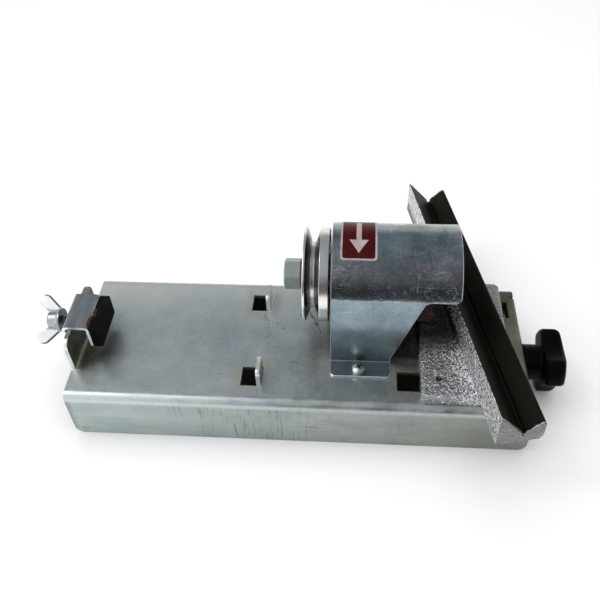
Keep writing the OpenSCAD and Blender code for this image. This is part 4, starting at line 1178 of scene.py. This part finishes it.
def thread_mesh(bm, x0, x1, r, pitch, cy, cz, depth, seg=32, per=10, taper=1.2):
    """Closed threaded bar along X, its crests at radius r, with tapered ends."""
    n = max(2, int(round((x1 - x0) / pitch * per)))
    rings = []
    for j in range(n + 1):
        x = x0 + (x1 - x0) * j / n
        end = min(x - x0, x1 - x)
        cut = max(0.0, (taper - end) / taper) * depth * 1.2
        ring = []
        for i in range(seg):
            a = 2 * math.pi * i / seg
            f = (x / pitch - i / seg) % 1.0
            tri = abs(f * 2 - 1)  # 1 at a crest, 0 at a root
            h = min(1.0, max(0.0, tri * 1.35 - 0.15))
            rr = min(r - depth * (1 - h), r - cut)
            ring.append(bm.verts.new(pt(x, cy + rr * math.cos(a), cz + rr * math.sin(a))))
        rings.append(ring)
    for a, b in zip(rings, rings[1:]):
        for i in range(seg):
            k = (i + 1) % seg
            bm.faces.new((a[i], a[k], b[k], b[i]))
    bm.faces.new(rings[0])
    bm.faces.new(rings[-1])


def build_feed_screw():
    bm = bmesh.new()
    thread_mesh(bm, 216, 293, 4.0, 1.25, FEED_Y, FEED_Z, 0.62)
    o = obj_from_bm("feed_screw_thread", bm, [MATS["ground_steel"]])
    return stand_in(o, "feed_screw")


build_feed_screw()

# ------------------------------------------------------------------ feed knob


def knob_radius(a):
    """Radius of the three-lobed outline in direction a."""
    d = 42.2
    big, D, q = d / 2, d * 1.047, d * 0.715
    best = big
    for k in range(3):
        c = math.radians(30 + 60 + 120 * k)
        dl = (a - c + math.pi) % (2 * math.pi) - math.pi
        s = D * math.sin(dl)
        if math.cos(dl) > 0 and abs(s) < q:
            h = D * math.cos(dl) - math.sqrt(q * q - s * s)
            if h > 0:
                # soft smaller of the two
                kk = 2.2
                t = max(kk - abs(best - h), 0.0) / kk
                best = min(best, h) - t * t * kk / 4
    return best


def build_knob():
    n = 168
    ang = [2 * math.pi * i / n for i in range(n)]
    out = [knob_radius(a) for a in ang]
    xb, xe, re, rb = 289.2, 300.2, 2.8, 2.2
    crown = 2.6  # rise of the domed front
    rows = []

    def neck(x, r):
        rows.append([(x, r)] * n)

    def head(x, inset, dome=0.0):
        rows.append([(x + dome * swell(o - inset), o - inset) for o in out])

    def swell(r):
        return crown * (1 - (r / 21.1) ** 2)

    x0 = 278.1
    neck(293.9, 6.53)
    neck(x0 + 0.5, 6.53)
    neck(x0 + 0.1, 6.8)
    neck(x0, 7.1)
    neck(x0, 10.4)
    for k in range(1, 5):  # front edge of the neck
        t = k / 4 * math.pi / 2
        neck(x0 + 0.7 * (1 - math.cos(t)), 10.4 + 0.7 * math.sin(t))
    neck(282.0, 11.1)
    neck(285.5, 11.1)
    f = 1.6  # fillet into the head
    for k in range(6):
        t = k / 5 * math.pi / 2
        rows.append([(xb - f + f * math.sin(t), min(11.1 + f * (1 - math.cos(t)), o - rb - 0.15)) for o in out])
    for k in range(8):  # back edge of the head
        t = k / 7 * math.pi / 2
        head(xb + rb * (1 - math.cos(t)), rb * (1 - math.sin(t)))
    head((xb + rb + xe - re) / 2, -0.0)
    for k in range(10):  # front edge of the head
        t = k / 9 * math.pi / 2
        head(xe - re + re * math.sin(t), re * (1 - math.cos(t)), 1.0)
    # domed front with a round cap
    for s in (0.95, 0.88, 0.80, 0.74):
        reach = [max((o - re) * s, 8.6 + 1.5 * (s - 0.74) / 0.21) for o in out]
        rows.append([(xe + swell(r), r) for r in reach])
    for r, dx in ((8.4, 0.0), (8.1, -0.3), (7.7, -0.3), (7.4, 0.06), (6.0, 0.06), (3.0, 0.04), (0.8, 0.02)):
        neck(xe + swell(r) + dx, r)
    bm = bmesh.new()
    loops = []
    for row in rows:
        loops.append([bm.verts.new(pt(x, FEED_Y + r * math.cos(a), FEED_Z + r * math.sin(a))) for (x, r), a in zip(row, ang)])
    for a, b in zip(loops, loops[1:]):
        for i in range(n):
            j = (i + 1) % n
            bm.faces.new((a[i], a[j], b[j], b[i]))
    bm.faces.new(loops[0])
    bm.faces.new(loops[-1])
    return stand_in(obj_from_bm("feed_knob_moulded", bm, [MATS["black_plastic"]]), "feed_knob")


build_knob()

# ------------------------------------------------------------------ end wall


def build_webs():
    """The end wall's edges, carried on towards both flanges."""
    bm = bmesh.new()
    for near, far in ((8.4, 2.7), (92.6, 98.3)):
        ring = [(near, 12.2), (far, 15.0), (far, 30.6), (near, 32.4)]
        a = [bm.verts.new(pt(275.32, y, z)) for y, z in ring]
        b = [bm.verts.new(pt(277.78, y, z)) for y, z in ring]
        bm.faces.new(a)
        bm.faces.new(b[::-1])
        for i in range(4):
            j = (i + 1) % 4
            bm.faces.new((a[i], b[i], b[j], a[j]))
    bmesh.ops.recalc_face_normals(bm, faces=bm.faces[:])
    bevel(bm, [e for e in bm.edges if abs(e.verts[0].co.x - e.verts[1].co.x) < 1e-6], 0.35, 2)
    o = obj_from_bm("end_wall_webs", bm, [MATS["zinc_base"]])
    weighted(o)
    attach(o, BODY["base_plate"])


build_webs()

# ------------------------------------------------------------------ wing bolt


def build_wing():
    bm = node_bm("wing_bolt")
    cut = pt(-8.25, 0, 0).x
    geom = bm.verts[:] + bm.edges[:] + bm.faces[:]
    bmesh.ops.bisect_plane(bm, geom=geom, dist=1e-7, plane_co=(cut, 0, 0), plane_no=(1, 0, 0), clear_outer=True)
    bmesh.ops.holes_fill(bm, edges=[e for e in bm.edges if e.is_boundary], sides=0)
    me = voxel(bm, 0.24)
    co = coords(me)
    ed = edge_pairs(me)
    w = np.ones(len(co))
    co = relax(co, ed, w, 10, 0.5)
    me.vertices.foreach_set("co", co.astype(np.float32).ravel())
    me.update()
    bm = bmesh.new()
    bm.from_mesh(me)
    hub = pt(0, CLAMP_Y, CLAMP_Z)
    flat = Vector((0, math.cos(math.radians(-50)), math.sin(math.radians(-50))))  # square to the wings
    bm.normal_update()
    # painted light: faces square to the wings take the lit copy of the zinc, their rims the shaded copy, and the collar
    # end the darker shaded teal
    for f in bm.faces:
        c = f.calc_center_median()
        r = math.hypot(c.y - hub.y, c.z - hub.z)
        if r > 7.7 * MM or (r > 6.6 * MM and c.x < pt(-10.6, 0, 0).x):
            u, v = c.x / MM + OX, r / MM
            tip = math.hypot(u + 19.9, v - 11.4), math.degrees(math.atan2(v - 11.4, u + 19.9))
            edge = (u + 8.6) * 0.694 + (v - 6.2) * 0.720 > -0.85 or (tip[0] > 3.3 and 46 < tip[1] < 105)
            f.material_index = 1 if abs(f.normal.dot(flat)) > 0.80 and not edge else 2
        elif c.x > pt(-9.1, 0, 0).x:
            f.material_index = 3
    shank = bmesh.new()
    thread_mesh(shank, -8.6, 11.2, 3.0, 1.0, CLAMP_Y, CLAMP_Z, 0.5, taper=0.6)
    tmp = bpy.data.meshes.new("t")
    for f in shank.faces:
        f.material_index = 3
    shank.to_mesh(tmp)
    shank.free()
    bm.from_mesh(tmp)
    bpy.data.meshes.remove(tmp)
    # plain neck through the bracket
    neck = bmesh.new()
    n = 40
    rows = [(10.9, 2.5), (14.2, 2.5), (14.5, 2.2)]
    loops = [[neck.verts.new(pt(x, CLAMP_Y + r * math.cos(2 * math.pi * i / n), CLAMP_Z + r * math.sin(2 * math.pi * i / n)))
              for i in range(n)] for x, r in rows]
    for a, b in zip(loops, loops[1:]):
        for i in range(n):
            j = (i + 1) % n
            neck.faces.new((a[i], a[j], b[j], b[i]))
    neck.faces.new(loops[0])
    neck.faces.new(loops[-1])
    tmp = bpy.data.meshes.new("t")
    neck.to_mesh(tmp)
    neck.free()
    bm.from_mesh(tmp)
    bpy.data.meshes.remove(tmp)
    o = obj_from_bm("wing_bolt_cast", bm, [MATS["zinc_wing"], WING_LIT, WING_EDGE_SHADE, COLLAR_SHADE])
    return stand_in(o, "wing_bolt")


build_wing()

# ------------------------------------------------------------------ cast rail


def build_rail():
    bm = node_bm("guide_rail")
    me = voxel(bm, 0.6, RAIL_A)
    co = coords(me)
    ed = edge_pairs(me)
    p = co / MM + np.array([OX, OY, 0.0])  # drawing mm
    rel = p[:, :2] - RAIL_BACK
    s, t, h = rel @ RAIL_U, rel @ RAIL_D, p[:, 2] - TOP
    # soft inner corner between the rail and its foot
    low = (p[:, 2] > TOP + 4) & (p[:, 0] > 211) & (p[:, 0] < 267.5) & (p[:, 1] > 3.5) & (p[:, 1] < 99)
    inner = np.where(low, np.exp(-((h - 8.0) / 2.0) ** 2) * np.maximum(np.exp(-((s) / 2.0) ** 2), np.exp(-((s - 26.4) / 2.0) ** 2)), 0)
    p = relax(p, ed, inner, 40, 0.5)
    # rounded upper edge and upright corners of the foot
    lo, hi, rc, r = np.array([212.0, 4.5]), np.array([266.3, 98.0]), 4.0, 1.9
    out_rail = ~((s > -0.8) & (s < 27.6) & (t > -0.5) & (t < RAIL_L + 0.5))
    foot = out_rail & (h > -0.2) & (h < 8.4)
    core = np.clip(p[:, :2], lo + rc, hi - rc)
    q = p[:, :2] - core
    ql = np.linalg.norm(q, axis=1)
    depth = rc - ql  # below the side face
    below = 8.0 - h
    a, b = r - depth, r - below
    ln = np.hypot(a, b)
    k = foot & (ql > 1e-6) & (a > 0) & (b > 0) & (ln > r)
    dirn = q[k] / ql[k][:, None]
    a2 = a[k] * r / ln[k]
    b2 = b[k] * r / ln[k]
    p[k, :2] = core[k] + dirn * (rc - (r - a2))[:, None]
    p[k, 2] = TOP + 8.0 - (r - b2)
    p = relax(p, ed, np.where(foot & (h > 3), 0.5, 0.0), 3, 0.5)
    # true V faces
    rel = p[:, :2] - RAIL_BACK
    s, t, h = rel @ RAIL_U, rel @ RAIL_D, p[:, 2] - TOP
    flank = np.zeros(len(p), bool)
    for (s0, h0), (s1, h1) in (((0.5, 31.2), (15.1, 13.8)), ((15.1, 13.8), (24.3, 22.1))):
        d = np.array([s1 - s0, h1 - h0])
        ln = np.hypot(*d)
        d = d / ln
        nrm = np.array([-d[1], d[0]])
        along = (s - s0) * d[0] + (h - h0) * d[1]
        off = (s - s0) * nrm[0] + (h - h0) * nrm[1]
        inside = (along > 0.5) & (along < ln - 0.5) & (np.abs(off) < 0.5) & (np.hypot(s - 15.1, h - 13.9) > 1.55)
        s = np.where(inside, s - off * nrm[0], s)
        h = np.where(inside, h - off * nrm[1], h)
        flank |= inside
    groove = np.hypot(s - 15.1, h - 13.9) < 1.75
    ends = (t < 0.45) | (t > RAIL_L - 0.45)
    lips = ((s > 23.9) & (s < 26.9) & (h > 20.0)) | ((h > 30.0) & (s > 0.25) & (s < 1.5))
    dark = (flank | groove | lips) & ~ends
    xy = RAIL_BACK + s[:, None] * RAIL_U + t[:, None] * RAIL_D
    p = np.column_stack([xy, h + TOP])
    me.vertices.foreach_set("co", ((p - np.array([OX, OY, 0.0])) * MM).astype(np.float32).ravel())
    me.update()
    # cast skin: pebbles pressed inwards, so that the size holds
    nor = np.zeros(len(me.vertices) * 3, np.float32)
    me.vertices.foreach_get("normal", nor)
    nor = nor.reshape(-1, 3)
    peb = (lattice_noise(p / 1.7, 3) * 0.10 + lattice_noise(p / 1.1 + 7.3, 4) * 0.085 + lattice_noise(p / 5.0 + 2.1, 5) * 0.10)
    rough = np.where(dark, 0.0, 1.0)
    rough *= np.where(p[:, 2] < TOP + 0.6, 0.0, 1.0)
    lip = (h > 29.9) & (s < 1.2)
    rough *= np.where(lip, 0.35, 1.0)
    p = p + nor * ((np.minimum(peb, 0.14) - 0.14) * rough)[:, None]
    under = (p[:, 2] > TOP - 0.4) & (p[:, 2] < TOP + 0.35) & (nor[:, 2] < -0.7)
    p[under, 2] = np.maximum(p[under, 2], TOP + 0.1)
    me.vertices.foreach_set("co", ((p - np.array([OX, OY, 0.0])) * MM).astype(np.float32).ravel())
    me.update()
    me.materials.append(MATS["cast_aluminium"])
    me.materials.append(VEE)
    idx = np.zeros(len(me.polygons), np.int32)
    for i, f in enumerate(me.polygons):
        if sum(dark[v] for v in f.vertices) >= len(f.vertices) - 1:
            idx[i] = 1
    me.polygons.foreach_set("material_index", idx)
    me.polygons.foreach_set("use_smooth", [True] * len(me.polygons))
    me.name = "guide_rail_cast"
    o = bpy.data.objects.new("guide_rail_cast", me)
    bpy.context.scene.collection.objects.link(o)
    return stand_in(o, "guide_rail")


build_rail()

# ------------------------------------------------------------------ stage


def build_stage():
    k = Mat("floor")
    pale = k.ramp(k.noise(3, 2), [(0.3, (0.900, 0.900, 0.900)), (0.7, (0.918, 0.918, 0.918))])
    # painted shade: the floor under the base darkened, as it is unlit there
    under = k.step(k.box_far(139, 50.5, 132, 44), 0.004, -0.006)
    k.set("Base Color", k.mix(under, pale, (0.120, 0.125, 0.110)))
    k.set("Roughness", 0.9)
    k.b.inputs["Specular IOR Level"].default_value = 0.1
    bm = bmesh.new()
    bmesh.ops.create_grid(bm, x_segments=1, y_segments=1, size=6.0)
    floor = obj_from_bm("floor", bm, [k.m], False)
    floor.location.z = -0.0002

    world = bpy.data.worlds.new("studio")
    bpy.context.scene.world = world
    world.use_nodes = True
    t = world.node_tree
    t.nodes.clear()
    out = t.nodes.new("ShaderNodeOutputWorld")
    bg = t.nodes.new("ShaderNodeBackground")
    t.links.new(bg.outputs[0], out.inputs[0])
    tc = t.nodes.new("ShaderNodeTexCoord")
    sep = t.nodes.new("ShaderNodeSeparateXYZ")
    t.links.new(tc.outputs["Generated"], sep.inputs[0])

    def node(kind, **kw):
        n = t.nodes.new(kind)
        for key, v in kw.items():
            setattr(n, key, v)
        return n

    def put(sock, v):
        if hasattr(v, "is_output"):
            t.links.new(v, sock)
        else:
            sock.default_value = v

    def ease(v, lo, hi):
        n = node("ShaderNodeMapRange", interpolation_type="SMOOTHSTEP")
        put(n.inputs["Value"], v)
        n.inputs["From Min"].default_value, n.inputs["From Max"].default_value = lo, hi
        return n.outputs["Result"]

    def times(a, b):
        n = node("ShaderNodeMath", operation="MULTIPLY")
        put(n.inputs[0], a)
        put(n.inputs[1], b)
        return n.outputs[0]

    def blend(fac, a, b):
        n = node("ShaderNodeMix", data_type="RGBA")
        put(n.inputs["Factor"], fac)
        for name, v in (("A", a), ("B", b)):
            sock = [i for i in n.inputs if i.name == name and i.type == "RGBA"][0]
            put(sock, (*v, 1.0) if isinstance(v, tuple) else v)
        return [o for o in n.outputs if o.type == "RGBA"][0]

    dx, dy, dz = sep.outputs
    sky = (0.265, 0.285, 0.300)
    low = ease(dz, 0.66, 0.28)
    col = blend(times(ease(dy, 0.45, 0.90), ease(dz, 0.52, 0.16)), sky, (0.98, 0.96, 0.90))  # bright rear wall
    col = blend(ease(dy, -0.66, -0.97), col, (0.095, 0.10, 0.105))  # dim room in front
    col = blend(times(ease(dx, 0.60, 0.95), low), col, (0.38, 0.385, 0.385))
    col = blend(times(ease(dx, -0.07, -0.27), ease(dy, 0.40, 0.08)), col, (1.12, 1.15, 1.19))  # wide window at the left
    col = blend(times(ease(dx, -0.62, -0.95), low), col, (0.80, 0.81, 0.82))
    path = node("ShaderNodeLightPath")
    col = blend(path.outputs["Is Diffuse Ray"], col, (0.705, 0.710, 0.715))
    t.links.new(col, bg.inputs["Color"])
    bg.inputs["Strength"].default_value = 1.0

    def area(name, loc, aim, size, power, glossy=True, colour=(1, 1, 1)):
        lamp = bpy.data.lights.new(name, "AREA")
        lamp.shape = "RECTANGLE"
        lamp.size, lamp.size_y = size
        lamp.energy = power
        lamp.color = colour
        o = bpy.data.objects.new(name, lamp)
        bpy.context.scene.collection.objects.link(o)
        o.location = loc
        o.rotation_mode = "QUATERNION"
        o.rotation_quaternion = (Vector(aim) - Vector(loc)).to_track_quat("-Z", "Y")
        o.visible_glossy = glossy
        return o

    area("overhead", (-0.05, 0.15, 1.15), (0, 0.05, 0), (1.3, 1.3), 6.5, glossy=False)
    area("strip", (-0.62, -0.10, 0.85), (0.05, 0.0, 0.03), (0.30, 0.60), 2.4)
    # dark screen behind the camera, met by reflections only
    k = Mat("screen")
    k.set("Base Color", k.ramp(k.noise(4, 2), [(0.3, (0.040, 0.042, 0.045)), (0.7, (0.055, 0.058, 0.062))]))
    k.set("Roughness", 0.9)
    bm = bmesh.new()
    bm.faces.new([bm.verts.new(v) for v in ((-0.12, -0.60, -0.0001), (1.6, -0.60, -0.0001), (1.6, -0.60, 0.34), (-0.12, -0.60, 0.34))])
    flag = obj_from_bm("screen", bm, [k.m], False)
    for ray in ("camera", "diffuse", "shadow", "transmission"):
        setattr(flag, "visible_" + ray, False)
    view = bpy.context.scene.view_settings
    view.view_transform = "Standard"
    view.look = "None"


build_stage()
